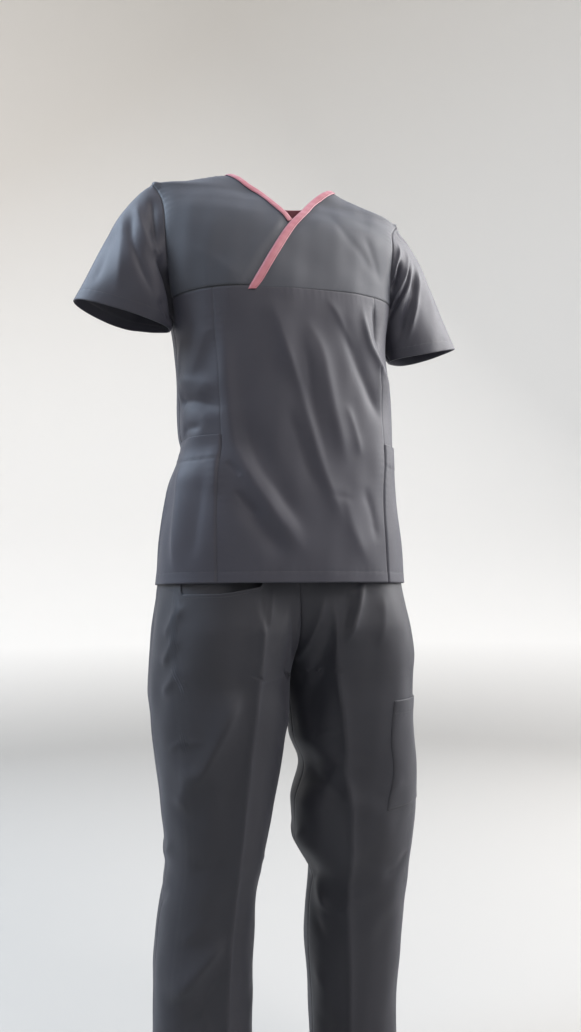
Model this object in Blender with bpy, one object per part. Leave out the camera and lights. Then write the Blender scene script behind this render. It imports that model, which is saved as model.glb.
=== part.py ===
"""Medical scrubs, worn and empty: a short-sleeved top with a lapped V neck, and long trousers.

Metres, +Z up. The garment faces -Y and the wearer's left is +X. The origin lies between the
shoulders, level with the neck end of the shoulder seams, so a height is minus the drop below them.
Each piece of cloth is a thin closed wall whose outer face runs through a grid of points on the
worn form; the form is worked out from the section tables below.
"""
import bpy
import numpy as np

# ------------------------------------------------------------------ driving dimensions
CLOTH = 0.0015             # wall of every piece of cloth
SEAM_INSET = 0.00018       # each piece stops this far short of its seam line
SEAM_EASE = 0.00015        # further room under the curved ends of the yoke seam
LAYER_GAP = 0.0003         # air between a patch and the panel that carries it
LAP_GAP = 0.0012           # air between the two lapped yokes
BEARER_FOOT = 0.790        # lower edge of the panels behind the hip pocket mouths
BEARER_GAP = 0.0016        # air between a front leg and the pocket bearer behind it
BACK_BAND_LIFT = 0.0030    # the binding behind the neck, above the form of the panel
CORE = 0.0001              # step for slopes

SHOULDER_DROP = 0.046      # shoulder tip below the neck end of the shoulder seam
NECK_HALF = 0.0915         # neck end of the shoulder seam, from the middle
BAND = 0.015               # width of the neck binding
YOKE_DROP = 0.2385         # yoke seam at the middle of the front
YOKE_SLOPE = -0.062        # the seam hangs lower towards the wearer's right
UNDERARM_DROP = 0.283
POCKET_MOUTH = 0.487
TOP_HEM = 0.720
PRINCESS = 0.148           # front panel seams, along the cloth from the middle
ARMHOLE_FRONT = {-1: 0.042, 1: 0.062}  # how far each armhole reaches forward of the side line
ARMHOLE_BACK = 0.052
ARMHOLE_BEND = (1.9, 0.65)  # sharpness of its curve at the shoulder and under the arm
BACK_NECK_DROP = 0.026

WAIST_TOP = 0.605
WAIST_SEAM = 0.645
CROTCH = 0.870
TROUSER_HEM = 1.500
CARGO_TOP = 0.911
CARGO_BOTTOM = 1.080
CARGO_FRONT, CARGO_BEHIND = 0.6, 0.8   # its edges, as shares of the front and of the back leg
MOUTH_LOW = {-1: 0.728, 1: 0.702}      # lower edge of each hip pocket mouth, at its inner end
MOUTH_GAPE = {-1: 0.006, 1: 0.002}     # how far each mouth stands open

# Torso sections: drop, half width, depth in front, depth behind, squareness, sideways shift
TORSO_COLUMNS = ("drop", "half_width", "front", "back", "square", "shift")
TORSO = (
    (-0.004, 0.080, 0.008, 0.014, 2.0, 0.000),
    (0.010, 0.121, 0.019, 0.030, 2.0, 0.000),
    (0.027, 0.172, 0.030, 0.046, 2.0, 0.000),
    (0.046, 0.228, 0.040, 0.060, 2.0, 0.000),
    (0.074, 0.233, 0.060, 0.082, 2.2, 0.000),
    (0.105, 0.234, 0.080, 0.098, 2.3, 0.000),
    (0.140, 0.229, 0.094, 0.109, 2.4, -0.003),
    (0.190, 0.218, 0.106, 0.118, 2.4, -0.007),
    (0.230, 0.207, 0.114, 0.120, 2.4, -0.008),
    (0.260, 0.198, 0.117, 0.120, 2.4, -0.006),
    (0.285, 0.192, 0.118, 0.119, 2.4, -0.005),
    (0.320, 0.188, 0.118, 0.117, 2.4, -0.003),
    (0.400, 0.190, 0.118, 0.111, 2.4, 0.004),
    (0.500, 0.191, 0.121, 0.110, 2.4, 0.006),
    (0.560, 0.198, 0.125, 0.115, 2.4, -0.001),
    (0.640, 0.208, 0.133, 0.124, 2.4, -0.005),
    (0.720, 0.214, 0.139, 0.131, 2.4, -0.006),
)

# Neck and lap edges on the front: sideways from the middle, drop
NECK_RIGHT = ((-NECK_HALF, 0.0), (-0.082, 0.010), (-0.069, 0.026), (-0.050, 0.044),
              (-0.030, 0.072), (-0.007, 0.104), (0.070, 0.233))
NECK_LEFT = ((NECK_HALF, 0.0), (0.078, 0.011), (0.060, 0.027), (0.040, 0.047), (0.011, 0.083),
             (-0.015, 0.114), (-0.054, 0.176), (-0.097, 0.251))
V_DROP = 0.104             # where the two neck edges cross

# Leg sections: drop, middle, inner and outer half width, depth in front, depth behind, set back.
# Above the crotch the inner half width is wider than the leg, and the seam cuts it off.
LEG_COLUMNS = ("drop", "middle", "inner", "outer", "front", "back", "set_back")
PELVIS = (
    (0.605, 0.085, 0.420, 0.1130, 0.104, 0.098, 0.000),
    (0.660, 0.090, 0.350, 0.1140, 0.110, 0.102, 0.000),
    (0.720, 0.095, 0.260, 0.1163, 0.116, 0.108, 0.000),
    (0.760, 0.100, 0.190, 0.1170, 0.122, 0.118, 0.000),
    (0.800, 0.105, 0.146, 0.1180, 0.127, 0.126, 0.000),
    (0.840, 0.110, 0.118, 0.1170, 0.126, 0.128, 0.000),
)
LEG_RIGHT = PELVIS + (
    (0.870, 0.113, 0.1120, 0.117, 0.124, 0.126, 0.000),
    (0.930, 0.118, 0.1125, 0.111, 0.115, 0.118, -0.008),
    (0.970, 0.120, 0.105, 0.105, 0.108, 0.112, -0.010),
    (1.020, 0.121, 0.097, 0.097, 0.102, 0.106, -0.012),
    (1.080, 0.124, 0.087, 0.087, 0.096, 0.098, -0.014),
    (1.140, 0.125, 0.076, 0.078, 0.090, 0.092, -0.010),
    (1.200, 0.135, 0.072, 0.074, 0.085, 0.088, -0.005),
    (1.260, 0.140, 0.076, 0.076, 0.082, 0.085, 0.000),
    (1.320, 0.144, 0.077, 0.077, 0.080, 0.083, 0.000),
    (1.400, 0.144, 0.076, 0.076, 0.078, 0.081, 0.000),
    (1.500, 0.143, 0.075, 0.075, 0.077, 0.080, 0.000),
)
LEG_LEFT = PELVIS + (
    (0.870, 0.111, 0.1100, 0.112, 0.124, 0.126, 0.000),
    (0.930, 0.110, 0.105, 0.105, 0.115, 0.118, -0.008),
    (0.970, 0.112, 0.104, 0.104, 0.110, 0.112, -0.010),
    (1.020, 0.121, 0.096, 0.096, 0.105, 0.106, -0.012),
    (1.080, 0.111, 0.104, 0.106, 0.100, 0.098, -0.014),
    (1.140, 0.113, 0.100, 0.100, 0.094, 0.092, -0.010),
    (1.200, 0.122, 0.083, 0.083, 0.087, 0.088, -0.005),
    (1.260, 0.118, 0.082, 0.082, 0.083, 0.085, 0.000),
    (1.320, 0.113, 0.079, 0.079, 0.080, 0.083, 0.000),
    (1.400, 0.111, 0.072, 0.071, 0.078, 0.080, 0.000),
    (1.500, 0.110, 0.070, 0.069, 0.076, 0.078, 0.000),
)
LEG_SQUARE = 2.15
# Sideways place of the front seam between the legs, and of the hips: drop, sideways
FRONT_SEAM = ((0.605, -0.012), (0.720, -0.010), (0.800, -0.006), (0.870, 0.000))
HIP_SHIFT = ((0.605, -0.006), (0.720, -0.006), (0.840, -0.003), (0.930, 0.000))

# Sleeve: hem centre, half width vector towards the outer side, half depth vector, swell of the arm,
# how the top of each sleeve leaves the shoulder (right, left) and which way the cloth hangs
SLEEVE_HEM_CENTRE = (0.280, 0.004, -0.2765)
SLEEVE_HEM_HALF = (0.077, 0.016, 0.0230)
SLEEVE_HEM_AHEAD = (0.000, -0.043, -0.007)
SLEEVE_BACK_DROP = 0.013   # how much lower the hem hangs behind the arm
SLEEVE_SWELL = 0.012
SLEEVE_LEAVE = {-1: (0.60, 0.00, -0.24), 1: (0.39, 0.00, -0.38)}
SLEEVE_AXIS = (0.43, 0.05, -0.90)
SLEEVE_ARRIVE = 1.1        # how straight the cloth hangs at the hem
LEFT_SLEEVE_LOWER = 0.013

# Largest folds: face they are seen on, sideways and drop at each end, half width, height.
# Sideways runs along X on the front and back, and along Y on the right and left.
# Columns: face, start, start drop, end, end drop, half width, height.
TOP_FOLDS = (
    ("front", -0.138, 0.300, -0.118, 0.510, 0.016, 0.005),
    ("front", -0.118, 0.500, -0.010, 0.690, 0.020, 0.007),
    ("front", -0.112, 0.440, -0.010, 0.660, 0.018, -0.005),
    ("front", -0.125, 0.577, -0.040, 0.690, 0.018, -0.005),
    ("front", -0.060, 0.255, -0.010, 0.420, 0.018, 0.005),
    ("front", -0.010, 0.420, 0.055, 0.640, 0.018, 0.005),
    ("front", -0.012, 0.280, 0.075, 0.538, 0.020, 0.005),
    ("front", 0.061, 0.269, 0.153, 0.470, 0.016, -0.006),
    ("front", 0.115, 0.260, 0.174, 0.440, 0.014, 0.006),
    ("front", -0.150, 0.310, -0.170, 0.420, 0.018, -0.004),
    ("back", -0.030, 0.280, -0.090, 0.560, 0.030, 0.007),
    ("back", 0.035, 0.300, 0.080, 0.600, 0.030, -0.006),
    ("back", 0.110, 0.260, 0.140, 0.500, 0.026, 0.006),
    ("back", -0.120, 0.420, -0.130, 0.700, 0.028, -0.006),
    ("back", 0.000, 0.540, 0.010, 0.720, 0.026, 0.006),
)
TROUSER_FOLDS = (
    ("front", 0.045, 0.740, 0.018, 0.950, 0.018, -0.007),
    ("front", 0.095, 0.725, 0.060, 0.830, 0.014, 0.005),
    ("front", -0.030, 0.760, -0.110, 0.900, 0.020, 0.004),
    ("front", -0.110, 0.885, -0.188, 1.055, 0.020, 0.005),
    ("front", -0.060, 1.110, -0.190, 1.210, 0.018, 0.004),
    ("front", -0.120, 1.236, -0.208, 1.342, 0.018, 0.006),
    ("front", 0.050, 1.050, 0.150, 1.110, 0.020, 0.005),
    ("front", 0.060, 1.150, 0.190, 1.180, 0.018, -0.005),
    ("front", 0.170, 1.210, 0.070, 1.300, 0.018, 0.004),
    ("back", 0.050, 0.900, 0.160, 0.990, 0.022, 0.006),
    ("back", -0.050, 0.900, -0.160, 0.990, 0.022, 0.006),
    ("back", 0.070, 1.090, 0.170, 1.130, 0.020, 0.007),
    ("back", -0.070, 1.090, -0.180, 1.130, 0.020, 0.007),
    ("back", 0.070, 1.170, 0.160, 1.210, 0.018, -0.006),
    ("back", -0.080, 1.170, -0.190, 1.210, 0.018, -0.006),
)
SLEEVE_FOLDS = (
    ("front", 0.262, 0.090, 0.285, 0.250, 0.014, 0.005),
    ("front", 0.238, 0.110, 0.240, 0.230, 0.012, -0.005),
    ("back", 0.262, 0.100, 0.275, 0.240, 0.016, 0.005),
)
# Pressed creases down the legs: drop, sideways on the right leg, sideways on the left leg
CREASE = (
    (0.760, -0.078, 0.040), (0.840, -0.086, 0.046), (0.940, -0.096, 0.058),
    (1.050, -0.108, 0.066), (1.200, -0.120, 0.074), (1.350, -0.128, 0.076),
    (1.500, -0.130, 0.076),
)
CREASE_HALF_WIDTH = 0.012
CREASE_HEIGHT = 0.005
BACK_CREASE = 0.140        # the creases behind run straight down, this far out

# How finely the pieces are cut up
YOKE_ROWS = 10
CHEST_ROWS = 7             # yoke seam to pocket mouth
POCKET_ROWS = 7            # pocket mouth to hem
FRONT_COLUMNS = 10
SIDE_COLUMNS = 5
BACK_HALF_COLUMNS = 12
BACK_TOP_ROWS = 10
NECK_COLUMNS = 13
SLEEVE_ROWS = 7
LEG_COLUMNS_COUNT = 10
LEG_ROW_HEIGHT = 0.036

NAVY = (0.060, 0.064, 0.085)
YOKE_GREY = (0.078, 0.084, 0.104)
ROSE = (0.72, 0.25, 0.29)

FACES = {"front": (1, -1), "back": (1, 1), "left": (0, 1), "right": (0, -1)}


# ------------------------------------------------------------------ small tools
def smooth(stops, values, at):
    """Value at each place on a smooth curve through the stops, with no overshoot."""
    stops = np.asarray(stops, float)
    values = np.asarray(values, float)
    at = np.clip(np.asarray(at, float), stops[0], stops[-1])
    rise = np.diff(values) / np.diff(stops)
    slope = np.empty_like(values)
    slope[0], slope[-1] = rise[0], rise[-1]
    product = rise[1:] * rise[:-1]
    total = np.where(product > 0, rise[1:] + rise[:-1], 1.0)
    slope[1:-1] = np.where(product > 0, 2.0 * product / total, 0.0)
    cell = np.clip(np.searchsorted(stops, at, side="right") - 1, 0, len(stops) - 2)
    width = stops[cell + 1] - stops[cell]
    part = (at - stops[cell]) / width
    after = part * part * (3.0 - 2.0 * part)
    lean = part * (1.0 - part) * ((1.0 - part) * slope[cell] - part * slope[cell + 1]) * width
    return values[cell] * (1.0 - after) + values[cell + 1] * after + lean


def column(table, names, name, drop):
    """One named column of a section table at the drops asked for."""
    rows = np.array(table, float)
    return smooth(rows[:, 0], rows[:, names.index(name)], drop)


def unit(vectors):
    return vectors / np.maximum(np.linalg.norm(vectors, axis=-1, keepdims=True), 1e-12)


def ease(value):
    value = np.clip(value, 0.0, 1.0)
    return value * value * (3.0 - 2.0 * value)


def folds_at(points, normals, table, mirror=1.0):
    """Height of the folds in a table at points of a form."""
    height = np.zeros(points.shape[:-1])
    for face, start, start_drop, end, end_drop, half_width, rise in table:
        axis, sign = FACES[face]
        across = points[..., 1 - axis] * (mirror if axis == 1 else 1.0)
        down = -points[..., 2]
        run = np.array((end - start, end_drop - start_drop))
        length = np.hypot(*run)
        run = run / length
        along = ((across - start) * run[0] + (down - start_drop) * run[1]) / length
        aside = (across - start) * run[1] - (down - start_drop) * run[0]
        taper = ease(along / 0.35) * ease((1.0 - along) / 0.35)
        facing = ease((normals[..., axis] * sign - 0.15) / 0.45)
        height += rise * np.exp(-(aside / half_width) ** 2) * taper * facing
    return height


# ------------------------------------------------------------------ torso form
def torso_columns(drop):
    return [column(TORSO, TORSO_COLUMNS, name, drop) for name in TORSO_COLUMNS[1:]]


def torso_normal(points):
    """Outward direction of the torso form at points that lie on it."""
    def level(x, y, drop):
        half, front, back, square, shift = torso_columns(drop)
        depth = np.where(y < 0, front, back)
        return (np.abs((x - shift) / half) ** square + np.abs(y / depth) ** square)
    x, y, drop = points[..., 0], points[..., 1], -points[..., 2]
    half, front, back, square, shift = torso_columns(drop)
    depth = np.where(y < 0, front, back)
    side = (x - shift) / half
    deep = y / depth
    gradient = np.stack((
        np.sign(side) * np.abs(side) ** (square - 1.0) / half,
        np.sign(deep) * np.abs(deep) ** (square - 1.0) / depth,
        -(level(x, y, drop + CORE) - level(x, y, drop - CORE)) / (2.0 * CORE * square),
    ), axis=-1)
    return unit(gradient)


def torso_by_side(x, drop, behind=False):
    """Points of the front or back of the torso, at sideways places and drops."""
    half, front, back, square, shift = torso_columns(drop)
    share = np.clip(np.abs((x - shift) / half), 0.0, 1.0)
    depth = back if behind else -front
    return np.stack((x, depth * (1.0 - share ** square) ** (1.0 / square), -drop), axis=-1)


def quarter_table(half, depth, square, steps=60):
    """Points of a quarter section from its middle (share 0) to its side (share 1)."""
    angle = np.linspace(0.0, np.pi / 2.0, steps + 1)
    power = 2.0 / square[..., None]
    across = half[..., None] * np.sin(angle) ** power
    deep = depth[..., None] * np.cos(angle) ** power
    length = np.zeros_like(across)
    length[..., 1:] = np.cumsum(np.hypot(np.diff(across), np.diff(deep)), axis=-1)
    return across, deep, length


def look_up(length, target, *tables):
    """Each table read where its length reaches the target, row by row."""
    index = np.clip((length < target[..., None]).sum(axis=-1), 1, length.shape[-1] - 1)
    index = index[..., None]
    before = np.take_along_axis(length, index - 1, -1)[..., 0]
    after = np.take_along_axis(length, index, -1)[..., 0]
    part = (target - before) / np.maximum(after - before, 1e-12)
    result = []
    for table in tables:
        low = np.take_along_axis(table, index - 1, -1)[..., 0]
        high = np.take_along_axis(table, index, -1)[..., 0]
        result.append(low + (high - low) * part)
    return result


def torso_by_turn(turn, drop):
    """Points round the torso: turn 0 front, 1 left side, 2 back, 3 or -1 right side."""
    turn, drop = np.broadcast_arrays(np.asarray(turn, float), np.asarray(drop, float))
    turn = np.mod(turn, 4.0)
    half, front, back, square, shift = torso_columns(drop)
    behind = (turn > 1.0) & (turn < 3.0)
    quarter = np.minimum(np.floor(turn), 3.0)
    share = turn - quarter
    share = np.where(np.mod(quarter, 2) == 1, 1.0 - share, share)
    across, deep, length = quarter_table(half, np.where(behind, back, front), square)
    x, y = look_up(length, share * length[..., -1], across, deep)
    x = x * np.where(turn > 2.0, -1.0, 1.0)
    y = y * np.where(behind, 1.0, -1.0)
    return np.stack((x + shift, y, -drop), axis=-1)


def front_quarter(drop):
    """Length along the cloth from the middle of the front to the side line."""
    half, front, back, square, shift = torso_columns(np.asarray(drop, float))
    return quarter_table(half, front, square)[2][..., -1]


def yoke_drop(x):
    return YOKE_DROP + YOKE_SLOPE * x


def armhole_drop(angle):
    """Drop along the armhole: angle 0 at the shoulder tip, pi under the arm."""
    middle = (SHOULDER_DROP + UNDERARM_DROP) / 2.0
    return middle - (UNDERARM_DROP - SHOULDER_DROP) / 2.0 * np.cos(angle)


def armhole(angle, side):
    """Points of the armhole edge; up to pi it is in front, past pi behind. side -1 is right."""
    angle = np.asarray(angle, float)
    drop = armhole_drop(angle)
    half, front, back, square, shift = torso_columns(drop)
    ahead = angle <= np.pi
    bend = np.interp(angle, (0.0, np.pi), ARMHOLE_BEND)
    swing = np.abs(np.sin(angle))
    reach = np.where(ahead, ARMHOLE_FRONT[side] * swing ** bend, ARMHOLE_BACK * swing ** 0.85)
    depth = np.where(ahead, front, back)
    share = np.clip(reach / depth, 0.0, 1.0)
    x = shift + side * half * (1.0 - share ** square) ** (1.0 / square)
    return np.stack((x, np.where(ahead, -reach, reach), -drop), axis=-1)


def armhole_corner(side):
    """Armhole angle where the yoke seam meets it."""
    angles = np.linspace(np.pi / 2.0, np.pi, 721)
    points = armhole(angles, side)
    miss = -points[:, 2] - yoke_drop(points[:, 0])
    return float(np.interp(0.0, miss, angles))


# ------------------------------------------------------------------ walls
def inset(grid, amount=SEAM_INSET, wrap=False):
    """Grid pulled in at its edges, so that neighbours stay clear of each other."""
    result = grid.copy()
    result[0] += unit(grid[1] - grid[0]) * amount
    result[-1] += unit(grid[-2] - grid[-1]) * amount
    if not wrap:
        result[:, 0] += unit(grid[:, 1] - grid[:, 0]) * amount
        result[:, -1] += unit(grid[:, -2] - grid[:, -1]) * amount
    return result


def material(name, colour, roughness):
    made = bpy.data.materials.new(name)
    made.use_nodes = True
    surface = made.node_tree.nodes["Principled BSDF"]
    surface.inputs["Base Color"].default_value = (*colour, 1.0)
    surface.inputs["Roughness"].default_value = roughness
    surface.inputs["Metallic"].default_value = 0.0
    return made


def wall(name, grid, normals, colour, lift=0.0, wrap=False, roughness=0.62, mirrored=99):
    """Closed wall of cloth whose outer face runs through the grid, moved out by lift.

    From the column named by mirrored on, the cells are split along their other diagonal, so
    that a patch which crosses a seam bends exactly as the two panels under it do.
    """
    rows, columns = grid.shape[:2]
    outer = grid + normals * lift
    inner = outer - normals * CLOTH
    points = np.concatenate((outer.reshape(-1, 3), inner.reshape(-1, 3)))
    under = rows * columns
    spans = columns if wrap else columns - 1
    triangles = []

    def number(row, place):
        return row * columns + place % columns

    for row in range(rows - 1):
        for place in range(spans):
            a = number(row, place)
            b = number(row, place + 1)
            c = number(row + 1, place + 1)
            d = number(row + 1, place)
            if place >= mirrored:
                a, b, c, d = b, c, d, a
            triangles += [(a, b, c), (a, c, d)]
            triangles += [(a + under, c + under, b + under), (a + under, d + under, c + under)]

    def rim(one, two):
        triangles.extend([(one, one + under, two + under), (one, two + under, two)])

    for place in range(spans):
        rim(number(0, place), number(0, place + 1))
        rim(number(rows - 1, place + 1), number(rows - 1, place))
    if not wrap:
        for row in range(rows - 1):
            rim(number(row + 1, 0), number(row, 0))
            rim(number(row, columns - 1), number(row + 1, columns - 1))
    middle_row, middle_column = rows // 2 - 1, columns // 2 - 1
    corner = grid[middle_row, middle_column]
    facing = np.cross(grid[middle_row, middle_column + 1] - corner,
                      grid[middle_row + 1, middle_column + 1] - corner)
    if np.dot(facing, normals[middle_row, middle_column]) < 0.0:
        triangles = [(a, c, b) for a, b, c in triangles]
    mesh = bpy.data.meshes.new(name)
    mesh.from_pydata(points.tolist(), [], triangles)
    mesh.materials.append(material(name + "_cloth", colour, roughness))
    mesh.shade_smooth()
    piece = bpy.data.objects.new(name, mesh)
    bpy.context.scene.collection.objects.link(piece)
    return piece


# ------------------------------------------------------------------ top
def dressed_torso(points):
    """Torso points with their folds, and the directions of the plain form under them."""
    normals = torso_normal(points)
    return points + normals * folds_at(points, normals, TOP_FOLDS)[..., None], normals


def path(points, shares):
    """Places along a smooth path through 2-D points, at shares of its length."""
    points = np.array(points, float)
    steps = np.linspace(0.0, 1.0, 400)
    knots = np.concatenate(((0.0,), np.cumsum(np.hypot(*np.diff(points, axis=0).T))))
    knots = knots / knots[-1]
    fine = np.stack([smooth(knots, points[:, axis], steps) for axis in (0, 1)], axis=-1)
    length = np.concatenate(((0.0,), np.cumsum(np.hypot(*np.diff(fine, axis=0).T))))
    length = length / length[-1]
    return np.stack([np.interp(shares, length, fine[:, axis]) for axis in (0, 1)], axis=-1)


def share_at_drop(points, drop):
    shares = np.linspace(0.0, 1.0, 401)
    return float(np.interp(drop, path(points, shares)[:, 1], shares))


def yoke_grid(neck, side):
    """Flat places (sideways, drop) of one front yoke, shoulder row first, neck column first."""
    crossing = share_at_drop(neck, V_DROP if side < 0 else V_DROP + 0.009)
    upper = np.linspace(0.0, 1.0, YOKE_ROWS - 4) ** 1.5 * crossing
    lower = crossing + (1.0 - crossing) * np.linspace(0.0, 1.0, 6)[1:]
    shares = np.concatenate((upper, lower))
    edge = path(neck, shares)
    seam_x = neck[-1][0]
    edge[-1] = (seam_x, yoke_drop(seam_x))
    corner = armhole_corner(side)
    angles = corner * np.linspace(0.0, 1.0, len(shares)) ** 1.15
    arm = armhole(angles, side)
    far = np.stack((arm[:, 0], -arm[:, 2]), axis=-1)
    rows = np.linspace(0.0, 1.0, len(shares))
    slope = np.gradient(edge, axis=0)
    across = unit(np.stack((slope[:, 1], -slope[:, 0]), axis=-1)) * side
    across[0] = unit(far[0] - edge[0])
    across[-1] = unit(far[-1] - edge[-1])
    band = edge + across * BAND
    columns = np.array((0.0, 0.14, 0.30, 0.47, 0.64, 0.80, 0.92, 1.0))
    flat = band[:, None] + (far - band)[:, None] * columns[:, None]
    flat = np.concatenate((edge[:, None], flat), axis=1)
    shoulder = side * torso_columns(flat[0, :, 1])[0] - flat[0, :, 0]
    flat[..., 0] += shoulder[None, :] * (1.0 - rows[:, None]) ** 3
    return flat, angles


def lap_sink(points):
    """How far the right yoke lies under the left one."""
    drop = -points[..., 2]
    edge = np.array(NECK_LEFT)
    lap = np.interp(drop, edge[:, 1], edge[:, 0])
    depth = CLOTH + LAP_GAP
    return depth * ease((points[..., 0] - lap + 0.022) / 0.020) * ease((drop - 0.080) / 0.022)


def make_yoke(side):
    word = "right" if side < 0 else "left"
    neck = NECK_RIGHT if side < 0 else NECK_LEFT
    flat, angles = yoke_grid(neck, side)
    points = torso_by_side(flat[..., 0], flat[..., 1])
    points[:, -1] = armhole(angles, side)
    grid, normals = dressed_torso(points)
    if side < 0:
        grid = grid - normals * lap_sink(points)[..., None]
    wall("yoke_front_" + word, inset(grid), normals, YOKE_GREY)
    rows = len(angles) if side > 0 else YOKE_ROWS - 4
    strip = inset(grid[:rows, :2])
    wall("neck_band_" + word, strip, normals[:rows, :2], ROSE,
         lift=LAYER_GAP + CLOTH, roughness=0.5)
    return angles


def lower_rows(top):
    """Drops from a top edge to the hem, with one row on the pocket mouth."""
    chest = np.linspace(0.0, 1.0, CHEST_ROWS + 1)[:, None]
    skirt = np.linspace(0.0, 1.0, POCKET_ROWS + 1)[1:, None]
    upper = top[None, :] + (POCKET_MOUTH - top[None, :]) * chest
    lower = POCKET_MOUTH + (TOP_HEM - POCKET_MOUTH) * skirt + 0.0 * top[None, :]
    return np.concatenate((upper, lower))


def seam_turn(drop):
    return PRINCESS / front_quarter(drop)


def top_under_yoke(turn_of, guess):
    """Drops of the yoke seam for columns whose turn depends on the drop."""
    drop = guess
    for _ in range(6):
        drop = yoke_drop(torso_by_turn(turn_of(drop), drop)[..., 0])
    return drop


def make_front_panel():
    shares = np.linspace(-1.0, 1.0, FRONT_COLUMNS + 1)
    top = top_under_yoke(lambda drop: shares * seam_turn(drop), np.full(len(shares), YOKE_DROP))
    drops = lower_rows(top)
    points = torso_by_turn(shares[None, :] * seam_turn(drops), drops)
    grid, normals = dressed_torso(points)
    wall("front_panel", inset(grid), normals, NAVY)


def make_side_front(side):
    """Side front panel and the pocket on its lower part; columns run from seam to side."""
    word = "right" if side < 0 else "left"
    corner = armhole_corner(side)
    arm_angles = np.linspace(corner, np.pi, 4)
    arm = armhole(arm_angles, side)
    plain = np.linspace(0.0, 1.0, SIDE_COLUMNS - 1)[:-1]
    corner_drop = -arm[0, 2]
    half, front, _, square, shift = torso_columns(-arm[:, 2])
    across, deep, length = quarter_table(half, front, square)
    reached = look_up(deep[..., ::-1], -arm[:, 1], length[..., ::-1])[0]
    arm_turn = reached / length[..., -1]
    corner_share = (arm_turn[0] - seam_turn(corner_drop)) / (1.0 - seam_turn(corner_drop))

    def turn_of(drop):
        seam = seam_turn(drop)
        return side * (seam + (1.0 - seam) * plain * corner_share)

    top = top_under_yoke(turn_of, np.full(len(plain), corner_drop))
    tops = np.concatenate((top, -arm[:, 2]))
    seam = seam_turn(-arm[:, 2])
    shares = np.concatenate((plain * corner_share, (arm_turn - seam) / (1.0 - seam)))
    shares[-1] = 1.0
    drops = lower_rows(tops)
    seams = seam_turn(drops)
    turns = seams + (1.0 - seams) * shares[None, :]
    points = torso_by_turn(side * turns, drops)
    points[0, len(plain):] = arm
    grid, normals = dressed_torso(points)
    panel = inset(grid)
    panel[0] += unit(grid[1] - grid[0]) * SEAM_EASE
    wall("side_front_" + word, panel, normals, NAVY)
    pocket = inset(grid[CHEST_ROWS:, :])
    wall("side_pocket_" + word, pocket, normals[CHEST_ROWS:, :], NAVY,
         lift=LAYER_GAP + CLOTH)
    return arm_angles


def back_neck_edge(share):
    """Flat places (sideways, drop) of the neck edge behind, from the left shoulder on."""
    swing = np.pi * np.asarray(share, float)
    return np.stack((NECK_HALF * np.cos(swing), BACK_NECK_DROP * np.sin(swing) ** 0.7), axis=-1)


def back_band(share, width):
    """Points behind the neck that lie a width away from its edge, along the cloth."""
    def edge(at):
        flat = back_neck_edge(np.clip(at, 0.0, 1.0))
        return torso_by_side(flat[..., 0], flat[..., 1], behind=True)
    points = edge(share)
    away = np.cross(unit(edge(share + 0.02) - edge(share - 0.02)), torso_normal(points))
    side = np.where(share < 0.5, 1.0, -1.0)
    seam = np.stack((side * (TORSO[1][1] - TORSO[0][1]), 0.0 * share,
                     0.0 * share + TORSO[0][0] - TORSO[1][0]), axis=-1)
    seam_share = ease(1.0 - np.minimum(share, 1.0 - share) / 0.12)[..., None]
    away = unit(unit(away) * (1.0 - seam_share) + unit(seam) * seam_share)
    moved = points + away * np.asarray(width, float)[..., None]
    return torso_by_side(moved[..., 0], -moved[..., 2], behind=True)


def make_back(shoulder_drop):
    """Back panel: level rows up to the arms, then a patch up to the shoulders and neck."""
    turns = np.linspace(1.0, 3.0, 2 * BACK_HALF_COLUMNS + 1)
    lower = lower_rows(np.full(len(turns), UNDERARM_DROP))[::-1]
    low_points = torso_by_turn(turns[None, :] + 0.0 * lower, lower)
    up = np.linspace(0.0, 1.0, BACK_TOP_ROWS + 1)
    angles = np.pi + np.pi * up ** 0.9
    left, right = armhole(angles, 1), armhole(angles, -1)
    shoulder_x = torso_columns(shoulder_drop)[0]
    neck_count = len(turns) - 2 * (len(shoulder_drop) - 1)
    neck = back_neck_edge(np.linspace(0.0, 1.0, neck_count))
    top_x = np.concatenate((shoulder_x[:0:-1], neck[:, 0], -shoulder_x[1:]))
    top_drop = np.concatenate((shoulder_drop[:0:-1], neck[:, 1], shoulder_drop[1:]))
    base_x = low_points[-1, :, 0]
    base_drop = np.full(len(turns), UNDERARM_DROP)
    share = np.linspace(0.0, 1.0, len(turns))
    flat = np.zeros((len(up), len(turns), 2))
    for axis, (foot, head, start, end) in enumerate((
            (base_x, top_x, left[:, 0], right[:, 0]),
            (base_drop, top_drop, -left[:, 2], -right[:, 2]))):
        vertical = foot[None, :] + (head - foot)[None, :] * up[:, None]
        sides = start[:, None] + (end - start)[:, None] * share[None, :]
        plain = (foot[0] * (1 - up)[:, None] * (1 - share)[None, :]
                 + foot[-1] * (1 - up)[:, None] * share[None, :]
                 + head[0] * up[:, None] * (1 - share)[None, :]
                 + head[-1] * up[:, None] * share[None, :])
        flat[..., axis] = vertical + sides - plain
    high_points = torso_by_side(flat[..., 0], flat[..., 1], behind=True)
    high_points[:, 0], high_points[:, -1] = left, right
    points = np.concatenate((low_points, high_points[1:]))
    grid, normals = dressed_torso(points)
    wall("back_panel", inset(grid), normals, NAVY)
    shares, widths = np.meshgrid(np.linspace(0.0, 1.0, NECK_COLUMNS), (0.0, BAND))
    band = back_band(shares, widths)
    wall("neck_band_back", inset(band), torso_normal(band), ROSE,
         lift=BACK_BAND_LIFT, roughness=0.5)
    return angles


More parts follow.
